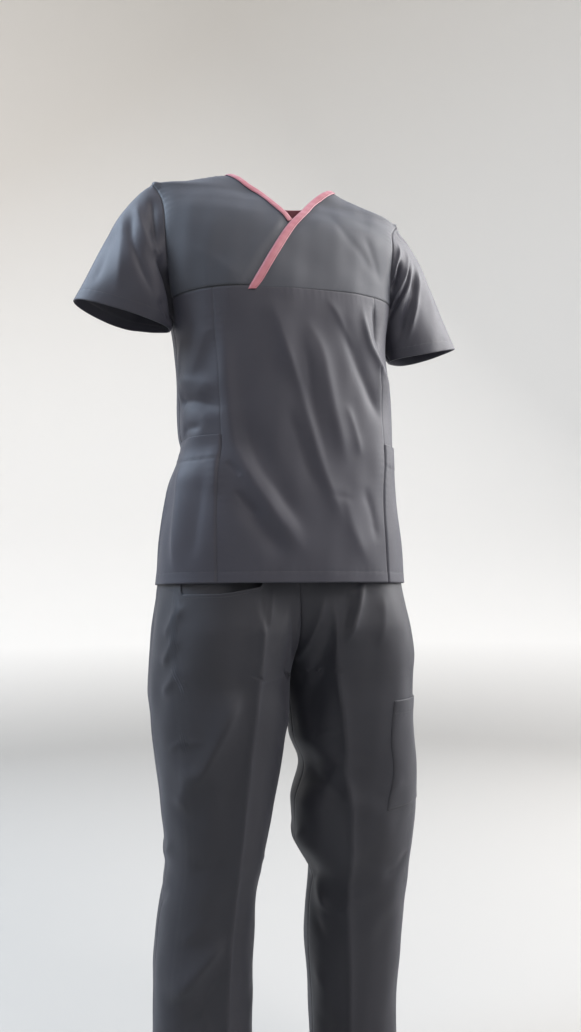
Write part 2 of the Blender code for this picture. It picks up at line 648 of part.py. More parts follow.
def make_sleeve(side, angles):
    """Sleeve from the armhole to its hem, a closed tube round the arm."""
    word = "right" if side < 0 else "left"
    mirror = np.array((side, 1.0, 1.0))
    start = armhole(angles, side)
    start[:, 0] += side * (SEAM_INSET + LAYER_GAP)
    lower = LEFT_SLEEVE_LOWER if side > 0 else 0.0
    centre = np.array(SLEEVE_HEM_CENTRE) * mirror - np.array((0.0, 0.0, lower))
    half = np.array(SLEEVE_HEM_HALF) * mirror
    turn = angles[:, None]
    sag = SLEEVE_BACK_DROP * ((1.0 - np.sin(turn)) / 2.0) ** 3
    end = (centre + half * np.cos(turn) + np.array(SLEEVE_HEM_AHEAD) * np.sin(turn)
           - sag * np.array((0.0, 0.0, 1.0)))
    chord = np.linalg.norm(end - start, axis=-1, keepdims=True)
    outward = (1.0 + np.cos(turn)) / 2.0
    axis = unit(np.array(SLEEVE_AXIS))
    leave = (np.array(SLEEVE_LEAVE[side]) * outward + axis * (1.0 - outward)) * mirror * chord
    arrive = axis * mirror * chord * SLEEVE_ARRIVE
    parts = np.linspace(0.0, 1.0, SLEEVE_ROWS + 1)

    def tube(part):
        part = part[:, None, None]
        square, cube = part ** 2, part ** 3
        points = (start * (2 * cube - 3 * square + 1) + leave * (cube - 2 * square + part)
                  + end * (3 * square - 2 * cube) + arrive * (cube - square))
        swell = SLEEVE_SWELL * np.sin(np.pi * part) * np.sin(turn)
        return points + swell * np.array((0.0, -1.0, 0.0))

    grid = tube(parts)
    along = tube(np.minimum(parts + CORE, 1.0)) - tube(np.maximum(parts - CORE, 0.0))
    around = np.roll(grid, -1, axis=1) - np.roll(grid, 1, axis=1)
    normals = unit(np.cross(around, along))
    middle = grid.mean(axis=1, keepdims=True)
    outwards = np.sign(((grid - middle) * normals).sum(axis=-1).mean())
    normals = normals * outwards
    grid = grid + normals * folds_at(grid, normals, SLEEVE_FOLDS, mirror=side)[..., None]
    wall("sleeve_" + word, grid, normals, NAVY, wrap=True)


# ------------------------------------------------------------------ trousers
def leg_point(share, drop, side, behind):
    """Points on half a leg: share 0 at the seam between the legs, 1 at the outer seam."""
    share, drop = np.broadcast_arrays(np.asarray(share, float), np.asarray(drop, float))
    table = LEG_RIGHT if side < 0 else LEG_LEFT
    middle, inner, outer, front, back, set_back = [
        column(table, LEG_COLUMNS, name, drop) for name in LEG_COLUMNS[1:]]
    seam_rows = np.array(FRONT_SEAM)
    seam = 0.0 * drop if behind else side * np.interp(drop, seam_rows[:, 0], seam_rows[:, 1])
    depth = back if behind else front
    square = np.full(drop.shape, LEG_SQUARE)
    reach = np.clip((middle - seam) / inner, 0.0, 1.0)
    stop = np.arcsin(reach ** (LEG_SQUARE / 2.0))
    spread = np.linspace(0.0, 1.0, 41)
    angle = stop[..., None] * (1.0 - spread)
    power = 2.0 / LEG_SQUARE
    in_x = middle[..., None] - inner[..., None] * np.sin(angle) ** power
    in_y = depth[..., None] * np.cos(angle) ** power
    across, deep, _ = quarter_table(outer, depth, square, 40)
    x = np.concatenate((in_x, middle[..., None] + across[..., 1:]), axis=-1)
    y = np.concatenate((in_y, deep[..., 1:]), axis=-1)
    length = np.zeros_like(x)
    length[..., 1:] = np.cumsum(np.hypot(np.diff(x), np.diff(y)), axis=-1)
    x, y = look_up(length, share * length[..., -1], x, y)
    y = set_back + (y if behind else -y)
    hips = np.array(HIP_SHIFT)
    return np.stack((side * x + smooth(hips[:, 0], hips[:, 1], drop), y, -drop), axis=-1)


def leg_across(share, drop, side, behind):
    """As leg_point, but a share just past a seam goes on into the other half of the leg."""
    inner_open = (share < 0.0) & (drop < CROTCH)
    other = (share > 1.0) | ((share < 0.0) & ~inner_open)
    folded = np.where(share > 1.0, 2.0 - share, np.abs(share))
    here = leg_point(np.where(inner_open, 0.0, folded), drop, side, behind)
    there = leg_point(folded, drop, side, not behind)
    return np.where(other[..., None], there, here)


def leg_normal(share, drop, side, behind):
    step = 0.010
    around = (leg_across(share + step, drop, side, behind)
              - leg_across(share - step, drop, side, behind))
    along = (leg_point(share, drop + CORE, side, behind)
             - leg_point(share, drop - CORE, side, behind))
    facing = unit(np.cross(around, along))
    sign = 1.0 if (side > 0) == behind else -1.0
    return facing * sign


def crease_height(points, side, behind):
    rows = np.array(CREASE)
    down = -points[..., 2]
    if behind:
        place = side * BACK_CREASE + 0.0 * down
    else:
        place = smooth(rows[:, 0], rows[:, 1 if side < 0 else 2], down)
    rise = ease((down - 0.74) / 0.06)
    return CREASE_HEIGHT * rise * np.exp(-np.abs(points[..., 0] - place) / CREASE_HALF_WIDTH)


def dressed_leg(share, drop, side, behind):
    points = leg_point(share, drop, side, behind)
    normals = leg_normal(share, drop, side, behind)
    height = folds_at(points, normals, TROUSER_FOLDS) + crease_height(points, side, behind)
    edge = ease(np.minimum(share, 1.0 - share) / 0.10)
    return points + normals * (height * edge)[..., None], normals


def leg_stops():
    return np.linspace(0.0, 1.0, LEG_COLUMNS_COUNT + 1)


def leg_rows(top):
    """Drops from the waist seam (or the pocket mouth) to the hem, level from the crotch on."""
    hips = np.linspace(0.0, 1.0, 7)[:, None]
    upper = top[None, :] + (CROTCH - top[None, :]) * hips
    stops = [CROTCH, CARGO_TOP, CARGO_BOTTOM, TROUSER_HEM]
    lower = []
    for start, end in zip(stops[:-1], stops[1:]):
        count = int(np.ceil((end - start) / LEG_ROW_HEIGHT))
        lower += list(np.linspace(start, end, count + 1)[1:])
    lower = np.array(lower)[:, None] + 0.0 * top[None, :]
    return np.concatenate((upper, lower))


def mouth_opening(share):
    """1 along the mouth of a hip pocket, falling to 0 at both of its ends."""
    return ease((share - 0.14) / 0.12) * ease((0.78 - share) / 0.08)


def mouth_drop(share, side):
    """Top edge of a front leg: the waist seam, dipping down to the scooped pocket mouth."""
    low = MOUTH_LOW[side] + 0.010 * ease((share - 0.22) / 0.26)
    return WAIST_SEAM + (low - WAIST_SEAM) * mouth_opening(share)


def make_leg(side, behind):
    word = ("back_" if behind else "front_") + ("right" if side < 0 else "left")
    stops = leg_stops()
    top = np.full(len(stops), WAIST_SEAM) if behind else mouth_drop(stops, side)
    drops = leg_rows(top)
    grid, normals = dressed_leg(stops[None, :] + 0.0 * drops, drops, side, behind)
    if not behind:
        gape = MOUTH_GAPE[side] * ease((stops - 0.14) / 0.12) * ease((0.70 - stops) / 0.12)
        grid[0] = grid[0] + normals[0] * gape[:, None]
    wall("leg_" + word, inset(grid), normals, NAVY)


def make_pocket_bearer(side):
    """The panel that shows behind the open mouth of a hip pocket."""
    word = "right" if side < 0 else "left"
    stops = leg_stops()[1:9]
    rows = np.linspace(WAIST_SEAM, BEARER_FOOT, 7)
    drops = rows[:, None] + 0.0 * stops[None, :]
    grid, normals = dressed_leg(stops[None, :] + 0.0 * drops, drops, side, False)
    wall("hip_pocket_" + word, inset(grid), normals, NAVY, lift=-CLOTH - BEARER_GAP)


def make_cargo_pocket():
    """Patch pocket over the outer seam of the left leg."""
    stops = leg_stops()
    top = np.full(len(stops), WAIST_SEAM)
    drops = leg_rows(top)[:, 0]
    drops = drops[(drops > CARGO_TOP - 0.001) & (drops < CARGO_BOTTOM + 0.001)]
    ahead = stops[stops > CARGO_FRONT - 0.01]
    after = stops[stops > CARGO_BEHIND - 0.01][::-1][1:]
    parts = []
    for shares, behind in ((ahead, False), (after, True)):
        deep = drops[:, None] + 0.0 * shares[None, :]
        parts.append(dressed_leg(shares[None, :] + 0.0 * deep, deep, 1, behind))
    grid = np.concatenate((parts[0][0], parts[1][0]), axis=1)
    normals = np.concatenate((parts[0][1], parts[1][1]), axis=1)
    wall("cargo_pocket_left", inset(grid), normals, NAVY, lift=LAYER_GAP + CLOTH,
         mirrored=len(ahead) - 1)


def make_waistband():
    """Plain band round the waist, sewn to the tops of the legs."""
    stops = leg_stops()
    drops = np.array((WAIST_TOP, WAIST_SEAM))
    loop, directions = [], []
    for side, behind, shares in ((1, False, stops), (1, True, stops[::-1][1:]),
                                 (-1, True, stops[1:]), (-1, False, stops[::-1][1:-1])):
        deep = drops[:, None] + 0.0 * shares[None, :]
        loop.append(leg_point(shares[None, :] + 0.0 * deep, deep, side, behind))
        directions.append(leg_normal(shares[None, :] + 0.0 * deep, deep, side, behind))
    grid = np.concatenate(loop, axis=1)
    normals = np.concatenate(directions, axis=1)
    wall("waistband", inset(grid, wrap=True), normals, NAVY, wrap=True)


# ------------------------------------------------------------------ build
def make_top():
    yoke_angles = {}
    side_angles = {}
    for side in (-1, 1):
        yoke_angles[side] = make_yoke(side)
        side_angles[side] = make_side_front(side)
    make_front_panel()
    back_angles = make_back(yoke_grid(NECK_LEFT, 1)[0][0, :, 1])
    for side in (-1, 1):
        angles = np.concatenate((yoke_angles[side][:-1], side_angles[side], back_angles[1:-1]))
        make_sleeve(side, angles)


def make_trousers():
    for side in (-1, 1):
        make_leg(side, behind=False)
        make_leg(side, behind=True)
        make_pocket_bearer(side)
    make_cargo_pocket()
    make_waistband()


def main():
    for thing in list(bpy.data.objects):
        bpy.data.objects.remove(thing, do_unlink=True)
    make_top()
    make_trousers()


main()
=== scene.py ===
"""Dresses worn medical scrubs: a short-sleeved top with a lapped V neck, over long trousers.

Metres, +Z up. The garment faces -Y and the wearer's left is +X. The origin lies between the
shoulders, level with the neck ends of the shoulder seams, so a height is minus the drop below them.
Every piece of cloth is a place: a function that gives the points of its outer face, where u runs
across the piece and v runs down it, both from 0 to 1.
"""

import bpy
import numpy as np
from bpy.props import FloatProperty, FloatVectorProperty, PointerProperty
from bpy.types import Operator, Panel, PropertyGroup
from mathutils import Matrix, Vector


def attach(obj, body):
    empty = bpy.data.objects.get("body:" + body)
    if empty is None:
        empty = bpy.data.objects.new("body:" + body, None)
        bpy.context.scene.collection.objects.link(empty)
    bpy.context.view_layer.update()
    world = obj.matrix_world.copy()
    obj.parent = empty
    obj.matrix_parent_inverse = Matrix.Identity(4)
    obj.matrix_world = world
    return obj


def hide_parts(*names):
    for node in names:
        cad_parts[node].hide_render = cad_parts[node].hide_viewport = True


bl_info = {
    "name": "Medical scrubs",
    "version": (1, 0, 0),
    "blender": (4, 5, 0),
    "location": "3D View > Sidebar > Scrubs",
    "description": "Cuts, dresses and stitches a worn set of medical scrubs",
    "category": "Object",
}

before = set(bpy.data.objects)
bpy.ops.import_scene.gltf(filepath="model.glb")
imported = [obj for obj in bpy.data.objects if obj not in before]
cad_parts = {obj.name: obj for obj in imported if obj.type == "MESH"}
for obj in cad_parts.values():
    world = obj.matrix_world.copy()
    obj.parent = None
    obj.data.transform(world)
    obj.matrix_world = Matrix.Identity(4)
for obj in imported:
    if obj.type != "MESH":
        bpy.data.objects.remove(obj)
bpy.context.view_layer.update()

# ------------------------------------------------------------------ driving dimensions
CLOTH = 0.0015             # wall of the cloth in the plain form
LAP_GAP = 0.0012           # air between the two lapped yokes of the plain form
BEARER_FOOT = 0.790        # lower edge of the panels behind the hip pocket mouths
NUDGE = 0.0001             # step that slopes are measured over

SHOULDER_DROP = 0.046      # shoulder tip below the neck end of the shoulder seam
NECK_HALF = 0.0915         # neck end of the shoulder seam, from the middle
BAND = 0.015               # width of the strip along the neck edges that the binding covers
YOKE_DROP = 0.2385         # yoke seam at the middle of the front
YOKE_SLOPE = -0.062        # the seam hangs lower towards the wearer's right
UNDERARM_DROP = 0.283
POCKET_MOUTH = 0.487
TOP_HEM = 0.720
PRINCESS = 0.148           # front panel seams, along the cloth from the middle
ARMHOLE_FRONT = {-1: 0.042, 1: 0.062}  # how far each armhole reaches forward of the side line
ARMHOLE_BACK = 0.052
ARMHOLE_BEND = (1.9, 0.65)  # sharpness of its curve at the shoulder and under the arm
BACK_NECK_DROP = 0.026

WAIST_TOP = 0.605
WAIST_SEAM = 0.645
CROTCH = 0.870
TROUSER_HEM = 1.500
CARGO_TOP = 0.911
CARGO_BOTTOM = 1.080
MOUTH_LOW = {-1: 0.728, 1: 0.702}      # lower edge of each hip pocket mouth, at its inner end
MOUTH_GAPE = {-1: 0.006, 1: 0.002}     # how far each mouth stands open

# Torso sections: drop, half width, depth in front, depth behind, squareness, sideways shift
TORSO_COLUMNS = ("drop", "half_width", "front", "back", "square", "shift")
TORSO = (
    (-0.004, 0.080, 0.008, 0.014, 2.0, 0.000),
    (0.010, 0.121, 0.019, 0.030, 2.0, 0.000),
    (0.027, 0.172, 0.030, 0.046, 2.0, 0.000),
    (0.046, 0.228, 0.040, 0.060, 2.0, 0.000),
    (0.074, 0.233, 0.060, 0.082, 2.2, 0.000),
    (0.105, 0.234, 0.080, 0.098, 2.3, 0.000),
    (0.140, 0.229, 0.094, 0.109, 2.4, -0.003),
    (0.190, 0.218, 0.106, 0.118, 2.4, -0.007),
    (0.230, 0.207, 0.114, 0.120, 2.4, -0.008),
    (0.260, 0.198, 0.117, 0.120, 2.4, -0.006),
    (0.285, 0.192, 0.118, 0.119, 2.4, -0.005),
    (0.320, 0.188, 0.118, 0.117, 2.4, -0.003),
    (0.400, 0.190, 0.118, 0.111, 2.4, 0.004),
    (0.500, 0.191, 0.121, 0.110, 2.4, 0.006),
    (0.560, 0.198, 0.125, 0.115, 2.4, -0.001),
    (0.640, 0.208, 0.133, 0.124, 2.4, -0.005),
    (0.720, 0.214, 0.139, 0.131, 2.4, -0.006),
)

# Neck and lap edges on the front: sideways from the middle, drop
NECK_RIGHT = ((-NECK_HALF, 0.0), (-0.082, 0.010), (-0.069, 0.026), (-0.050, 0.044),
              (-0.030, 0.072), (-0.007, 0.104), (0.070, 0.233))
NECK_LEFT = ((NECK_HALF, 0.0), (0.078, 0.011), (0.060, 0.027), (0.040, 0.047), (0.011, 0.083),
             (-0.015, 0.114), (-0.054, 0.176), (-0.097, 0.251))
V_DROP = 0.104             # where the two neck edges cross

# Leg sections: drop, middle, inner and outer half width, depth in front, depth behind, set back.
# Above the crotch the inner half width is wider than the leg, and the seam cuts it off.
LEG_COLUMNS = ("drop", "middle", "inner", "outer", "front", "back", "set_back")
PELVIS = (
    (0.605, 0.085, 0.420, 0.1130, 0.104, 0.098, 0.000),
    (0.660, 0.090, 0.350, 0.1140, 0.110, 0.102, 0.000),
    (0.720, 0.095, 0.260, 0.1163, 0.116, 0.108, 0.000),
    (0.760, 0.100, 0.190, 0.1170, 0.122, 0.118, 0.000),
    (0.800, 0.105, 0.146, 0.1180, 0.127, 0.126, 0.000),
    (0.840, 0.110, 0.118, 0.1170, 0.126, 0.128, 0.000),
)
LEG_RIGHT = PELVIS + (
    (0.870, 0.113, 0.1120, 0.117, 0.124, 0.126, 0.000),
    (0.930, 0.118, 0.1125, 0.111, 0.115, 0.118, -0.008),
    (0.970, 0.120, 0.105, 0.105, 0.108, 0.112, -0.010),
    (1.020, 0.121, 0.097, 0.097, 0.102, 0.106, -0.012),
    (1.080, 0.124, 0.087, 0.087, 0.096, 0.098, -0.014),
    (1.140, 0.125, 0.076, 0.078, 0.090, 0.092, -0.010),
    (1.200, 0.135, 0.072, 0.074, 0.085, 0.088, -0.005),
    (1.260, 0.140, 0.076, 0.076, 0.082, 0.085, 0.000),
    (1.320, 0.144, 0.077, 0.077, 0.080, 0.083, 0.000),
    (1.400, 0.144, 0.076, 0.076, 0.078, 0.081, 0.000),
    (1.500, 0.143, 0.075, 0.075, 0.077, 0.080, 0.000),
)
LEG_LEFT = PELVIS + (
    (0.870, 0.111, 0.1100, 0.112, 0.124, 0.126, 0.000),
    (0.930, 0.110, 0.105, 0.105, 0.115, 0.118, -0.008),
    (0.970, 0.112, 0.104, 0.104, 0.110, 0.112, -0.010),
    (1.020, 0.121, 0.096, 0.096, 0.105, 0.106, -0.012),
    (1.080, 0.111, 0.104, 0.106, 0.100, 0.098, -0.014),
    (1.140, 0.113, 0.100, 0.100, 0.094, 0.092, -0.010),
    (1.200, 0.122, 0.083, 0.083, 0.087, 0.088, -0.005),
    (1.260, 0.118, 0.082, 0.082, 0.083, 0.085, 0.000),
    (1.320, 0.113, 0.079, 0.079, 0.080, 0.083, 0.000),
    (1.400, 0.111, 0.072, 0.071, 0.078, 0.080, 0.000),
    (1.500, 0.110, 0.070, 0.069, 0.076, 0.078, 0.000),
)
LEG_SQUARE = 2.15
# Sideways place of the front seam between the legs, and of the hips: drop, sideways
FRONT_SEAM = ((0.605, -0.012), (0.720, -0.010), (0.800, -0.006), (0.870, 0.000))
HIP_SHIFT = ((0.605, -0.006), (0.720, -0.006), (0.840, -0.003), (0.930, 0.000))

# Sleeve: hem centre, half width vector towards the outer side, half depth vector, swell of the arm,
# how the top of each sleeve leaves the shoulder (right, left) and which way the cloth hangs
SLEEVE_HEM_CENTRE = (0.280, 0.004, -0.2765)
SLEEVE_HEM_HALF = (0.077, 0.016, 0.0230)
SLEEVE_HEM_AHEAD = (0.000, -0.043, -0.007)
SLEEVE_BACK_DROP = 0.013   # how much lower the hem hangs behind the arm
SLEEVE_SWELL = 0.012
SLEEVE_LEAVE = {-1: (0.60, 0.00, -0.24), 1: (0.39, 0.00, -0.38)}
SLEEVE_AXIS = (0.43, 0.05, -0.90)
SLEEVE_ARRIVE = 1.1        # how straight the cloth hangs at the hem
LEFT_SLEEVE_LOWER = 0.013

# Largest folds: face they are seen on, sideways and drop at each end, half width, height.
# Sideways runs along X on the front and back, and along Y on the right and left.
# Columns: face, start, start drop, end, end drop, half width, height.
TOP_FOLDS = (
    ("front", -0.138, 0.300, -0.118, 0.510, 0.016, 0.005),
    ("front", -0.118, 0.500, -0.010, 0.690, 0.020, 0.007),
    ("front", -0.112, 0.440, -0.010, 0.660, 0.018, -0.005),
    ("front", -0.125, 0.577, -0.040, 0.690, 0.018, -0.005),
    ("front", -0.060, 0.255, -0.010, 0.420, 0.018, 0.005),
    ("front", -0.010, 0.420, 0.055, 0.640, 0.018, 0.005),
    ("front", -0.012, 0.280, 0.075, 0.538, 0.020, 0.005),
    ("front", 0.061, 0.269, 0.153, 0.470, 0.016, -0.006),
    ("front", 0.115, 0.260, 0.174, 0.440, 0.014, 0.006),
    ("front", -0.150, 0.310, -0.170, 0.420, 0.018, -0.004),
    ("back", -0.030, 0.280, -0.090, 0.560, 0.030, 0.007),
    ("back", 0.035, 0.300, 0.080, 0.600, 0.030, -0.006),
    ("back", 0.110, 0.260, 0.140, 0.500, 0.026, 0.006),
    ("back", -0.120, 0.420, -0.130, 0.700, 0.028, -0.006),
    ("back", 0.000, 0.540, 0.010, 0.720, 0.026, 0.006),
)
TROUSER_FOLDS = (
    ("front", 0.045, 0.740, 0.018, 0.950, 0.018, -0.007),
    ("front", 0.095, 0.725, 0.060, 0.830, 0.014, 0.005),
    ("front", -0.030, 0.760, -0.110, 0.900, 0.020, 0.004),
    ("front", -0.110, 0.885, -0.188, 1.055, 0.020, 0.005),
    ("front", -0.060, 1.110, -0.190, 1.210, 0.018, 0.004),
    ("front", -0.120, 1.236, -0.208, 1.342, 0.018, 0.006),
    ("front", 0.050, 1.050, 0.150, 1.110, 0.020, 0.005),
    ("front", 0.060, 1.150, 0.190, 1.180, 0.018, -0.005),
    ("front", 0.170, 1.210, 0.070, 1.300, 0.018, 0.004),
    ("back", 0.050, 0.900, 0.160, 0.990, 0.022, 0.006),
    ("back", -0.050, 0.900, -0.160, 0.990, 0.022, 0.006),
    ("back", 0.070, 1.090, 0.170, 1.130, 0.020, 0.007),
    ("back", -0.070, 1.090, -0.180, 1.130, 0.020, 0.007),
    ("back", 0.070, 1.170, 0.160, 1.210, 0.018, -0.006),
    ("back", -0.080, 1.170, -0.190, 1.210, 0.018, -0.006),
)
SLEEVE_FOLDS = (
    ("front", 0.262, 0.090, 0.285, 0.250, 0.014, 0.005),
    ("front", 0.238, 0.110, 0.240, 0.230, 0.012, -0.005),
    ("back", 0.262, 0.100, 0.275, 0.240, 0.016, 0.005),
)
# Pressed creases down the legs: drop, sideways on the right leg, sideways on the left leg
CREASE = (
    (0.760, -0.078, 0.040), (0.840, -0.086, 0.046), (0.940, -0.096, 0.058),
    (1.050, -0.108, 0.066), (1.200, -0.120, 0.074), (1.350, -0.128, 0.076),
    (1.500, -0.130, 0.076),
)
CREASE_HALF_WIDTH = 0.010
CREASE_HEIGHT = 0.005
BACK_CREASE = 0.140        # the creases behind run straight down, this far out

FOLD_SHARE = 0.6           # share of the largest folds that stays when the fine ones are added
FOLD_TAPER = 0.35          # share of a fold's length over which each of its ends runs out
YOKE_ROWS = 10             # rows that the neck path is set out on
FACES = {"front": (1, -1), "back": (1, 1), "left": (0, 1), "right": (0, -1)}


# ------------------------------------------------------------------ small tools
def smooth(stops, values, at):
    """Value at each place on a smooth curve through the stops, with no overshoot."""
    stops = np.asarray(stops, float)
    values = np.asarray(values, float)
    at = np.clip(np.asarray(at, float), stops[0], stops[-1])
    rise = np.diff(values) / np.diff(stops)
    slope = np.empty_like(values)
    slope[0], slope[-1] = rise[0], rise[-1]
    product = rise[1:] * rise[:-1]
    total = np.where(product > 0, rise[1:] + rise[:-1], 1.0)
    slope[1:-1] = np.where(product > 0, 2.0 * product / total, 0.0)
    cell = np.clip(np.searchsorted(stops, at, side="right") - 1, 0, len(stops) - 2)
    width = stops[cell + 1] - stops[cell]
    part = (at - stops[cell]) / width
    after = part * part * (3.0 - 2.0 * part)
    lean = part * (1.0 - part) * ((1.0 - part) * slope[cell] - part * slope[cell + 1]) * width
    return values[cell] * (1.0 - after) + values[cell + 1] * after + lean


def column(table, names, name, drop):
    """One named column of a section table at the drops asked for."""
    rows = np.array(table, float)
    return smooth(rows[:, 0], rows[:, names.index(name)], drop)


def unit(vectors):
    return vectors / np.maximum(np.linalg.norm(vectors, axis=-1, keepdims=True), 1e-12)


def ease(value):
    value = np.clip(value, 0.0, 1.0)
    return value * value * (3.0 - 2.0 * value)


def paired(first, second):
    """Two sets of numbers as arrays of one shape."""
    return np.broadcast_arrays(np.asarray(first, float), np.asarray(second, float))


def folds_at(points, normals, table, mirror=1.0):
    """Height of the folds in a table at points of a form."""
    height = np.zeros(points.shape[:-1])
    for face, start, start_drop, end, end_drop, half_width, rise in table:
        axis, sign = FACES[face]
        across = points[..., 1 - axis] * (mirror if axis == 1 else 1.0)
        down = -points[..., 2]
        run = np.array((end - start, end_drop - start_drop))
        length = np.hypot(*run)
        run = run / length
        along = ((across - start) * run[0] + (down - start_drop) * run[1]) / length
        aside = (across - start) * run[1] - (down - start_drop) * run[0]
        taper = ease(along / FOLD_TAPER) * ease((1.0 - along) / FOLD_TAPER)
        facing = ease((normals[..., axis] * sign - 0.15) / 0.45)
        height += FOLD_SHARE * rise * np.exp(-(aside / half_width) ** 2) * taper * facing
    return height


# ------------------------------------------------------------------ torso form
def torso_columns(drop):
    return [column(TORSO, TORSO_COLUMNS, name, drop) for name in TORSO_COLUMNS[1:]]


def torso_normal(points):
    """Outward direction of the torso form at points that lie on it."""
    def level(x, y, drop):
        half, front, back, square, shift = torso_columns(drop)
        depth = np.where(y < 0, front, back)
        return (np.abs((x - shift) / half) ** square + np.abs(y / depth) ** square)
    x, y, drop = points[..., 0], points[..., 1], -points[..., 2]
    half, front, back, square, shift = torso_columns(drop)
    depth = np.where(y < 0, front, back)
    side = (x - shift) / half
    deep = y / depth
    gradient = np.stack((
        np.sign(side) * np.abs(side) ** (square - 1.0) / half,
        np.sign(deep) * np.abs(deep) ** (square - 1.0) / depth,
        -(level(x, y, drop + NUDGE) - level(x, y, drop - NUDGE)) / (2.0 * NUDGE * square),
    ), axis=-1)
    return unit(gradient)


def torso_by_side(x, drop, behind=False):
    """Points of the front or back of the torso, at sideways places and drops."""
    half, front, back, square, shift = torso_columns(drop)
    share = np.clip(np.abs((x - shift) / half), 0.0, 1.0)
    depth = back if behind else -front
    return np.stack((x, depth * (1.0 - share ** square) ** (1.0 / square), -drop), axis=-1)


def quarter_table(half, depth, square, steps=200):
    """Points of a quarter section from its middle (share 0) to its side (share 1)."""
    angle = np.linspace(0.0, np.pi / 2.0, steps + 1)
    power = 2.0 / square[..., None]
    across = half[..., None] * np.sin(angle) ** power
    deep = depth[..., None] * np.cos(angle) ** power
    length = np.zeros_like(across)
    length[..., 1:] = np.cumsum(np.hypot(np.diff(across), np.diff(deep)), axis=-1)
    return across, deep, length


def look_up(length, target, *tables):
    """Each table read where its length reaches the target, row by row."""
    index = np.clip((length < target[..., None]).sum(axis=-1), 1, length.shape[-1] - 1)
    index = index[..., None]
    before = np.take_along_axis(length, index - 1, -1)[..., 0]
    after = np.take_along_axis(length, index, -1)[..., 0]
    part = (target - before) / np.maximum(after - before, 1e-12)
    result = []
    for table in tables:
        low = np.take_along_axis(table, index - 1, -1)[..., 0]
        high = np.take_along_axis(table, index, -1)[..., 0]
        result.append(low + (high - low) * part)
    return result


def torso_by_turn(turn, drop):
    """Points round the torso: turn 0 front, 1 left side, 2 back, 3 or -1 right side."""
    turn, drop = paired(turn, drop)
    turn = np.mod(turn, 4.0)
    half, front, back, square, shift = torso_columns(drop)
    behind = (turn > 1.0) & (turn < 3.0)
    quarter = np.minimum(np.floor(turn), 3.0)
    share = turn - quarter
    share = np.where(np.mod(quarter, 2) == 1, 1.0 - share, share)
    across, deep, length = quarter_table(half, np.where(behind, back, front), square)
    x, y = look_up(length, share * length[..., -1], across, deep)
    x = x * np.where(turn > 2.0, -1.0, 1.0)
    y = y * np.where(behind, 1.0, -1.0)
    return np.stack((x + shift, y, -drop), axis=-1)


def front_quarter(drop):
    """Length along the cloth from the middle of the front to the side line."""
    half, front, back, square, shift = torso_columns(np.asarray(drop, float))
    return quarter_table(half, front, square)[2][..., -1]


def yoke_drop(x):
    return YOKE_DROP + YOKE_SLOPE * x


def armhole_drop(angle):
    """Drop along the armhole: angle 0 at the shoulder tip, pi under the arm."""
    middle = (SHOULDER_DROP + UNDERARM_DROP) / 2.0
    return middle - (UNDERARM_DROP - SHOULDER_DROP) / 2.0 * np.cos(angle)


def armhole(angle, side):
    """Points of the armhole edge; up to pi it is in front, past pi behind. side -1 is right."""
    angle = np.asarray(angle, float)
    drop = armhole_drop(angle)
    half, front, back, square, shift = torso_columns(drop)
    ahead = angle <= np.pi
    bend = np.interp(angle, (0.0, np.pi), ARMHOLE_BEND)
    swing = np.abs(np.sin(angle))
    reach = np.where(ahead, ARMHOLE_FRONT[side] * swing ** bend, ARMHOLE_BACK * swing ** 0.85)
    depth = np.where(ahead, front, back)
    share = np.clip(reach / depth, 0.0, 1.0)
    x = shift + side * half * (1.0 - share ** square) ** (1.0 / square)
    return np.stack((x, np.where(ahead, -reach, reach), -drop), axis=-1)


def armhole_corner(side):
    """Armhole angle where the yoke seam meets it."""
    angles = np.linspace(np.pi / 2.0, np.pi, 721)
    points = armhole(angles, side)
    miss = -points[:, 2] - yoke_drop(points[:, 0])
    return float(np.interp(0.0, miss, angles))


# ------------------------------------------------------------------ top
def dressed_torso(points):
    """Torso points with their folds, and the directions of the plain form under them."""
    normals = torso_normal(points)
    return points + normals * folds_at(points, normals, TOP_FOLDS)[..., None], normals


def path(points, shares):
    """Places along a smooth path through 2-D points, at shares of its length."""
    points = np.array(points, float)
    steps = np.linspace(0.0, 1.0, 400)
    knots = np.concatenate(((0.0,), np.cumsum(np.hypot(*np.diff(points, axis=0).T))))
    knots = knots / knots[-1]
    fine = np.stack([smooth(knots, points[:, axis], steps) for axis in (0, 1)], axis=-1)
    length = np.concatenate(((0.0,), np.cumsum(np.hypot(*np.diff(fine, axis=0).T))))
    length = length / length[-1]
    return np.stack([np.interp(shares, length, fine[:, axis]) for axis in (0, 1)], axis=-1)


def share_at_drop(points, drop):
    shares = np.linspace(0.0, 1.0, 401)
    return float(np.interp(drop, path(points, shares)[:, 1], shares))


def lap_sink(points):
    """How far the right yoke lies under the left one."""
    drop = -points[..., 2]
    edge = np.array(NECK_LEFT)
    lap = np.interp(drop, edge[:, 1], edge[:, 0])
    depth = CLOTH + LAP_GAP
    return depth * ease((points[..., 0] - lap + 0.022) / 0.020) * ease((drop - 0.080) / 0.022)


def seam_turn(drop):
    return PRINCESS / front_quarter(drop)


def top_under_yoke(turn_of, guess):
    """Drops of the yoke seam for columns whose turn depends on the drop."""
    drop = guess
    for _ in range(6):
        drop = yoke_drop(torso_by_turn(turn_of(drop), drop)[..., 0])
    return drop


def back_neck_edge(share):
    """Flat places (sideways, drop) of the neck edge behind, from the left shoulder on."""
    swing = np.pi * np.asarray(share, float)
    return np.stack((NECK_HALF * np.cos(swing), BACK_NECK_DROP * np.sin(swing) ** 0.7), axis=-1)


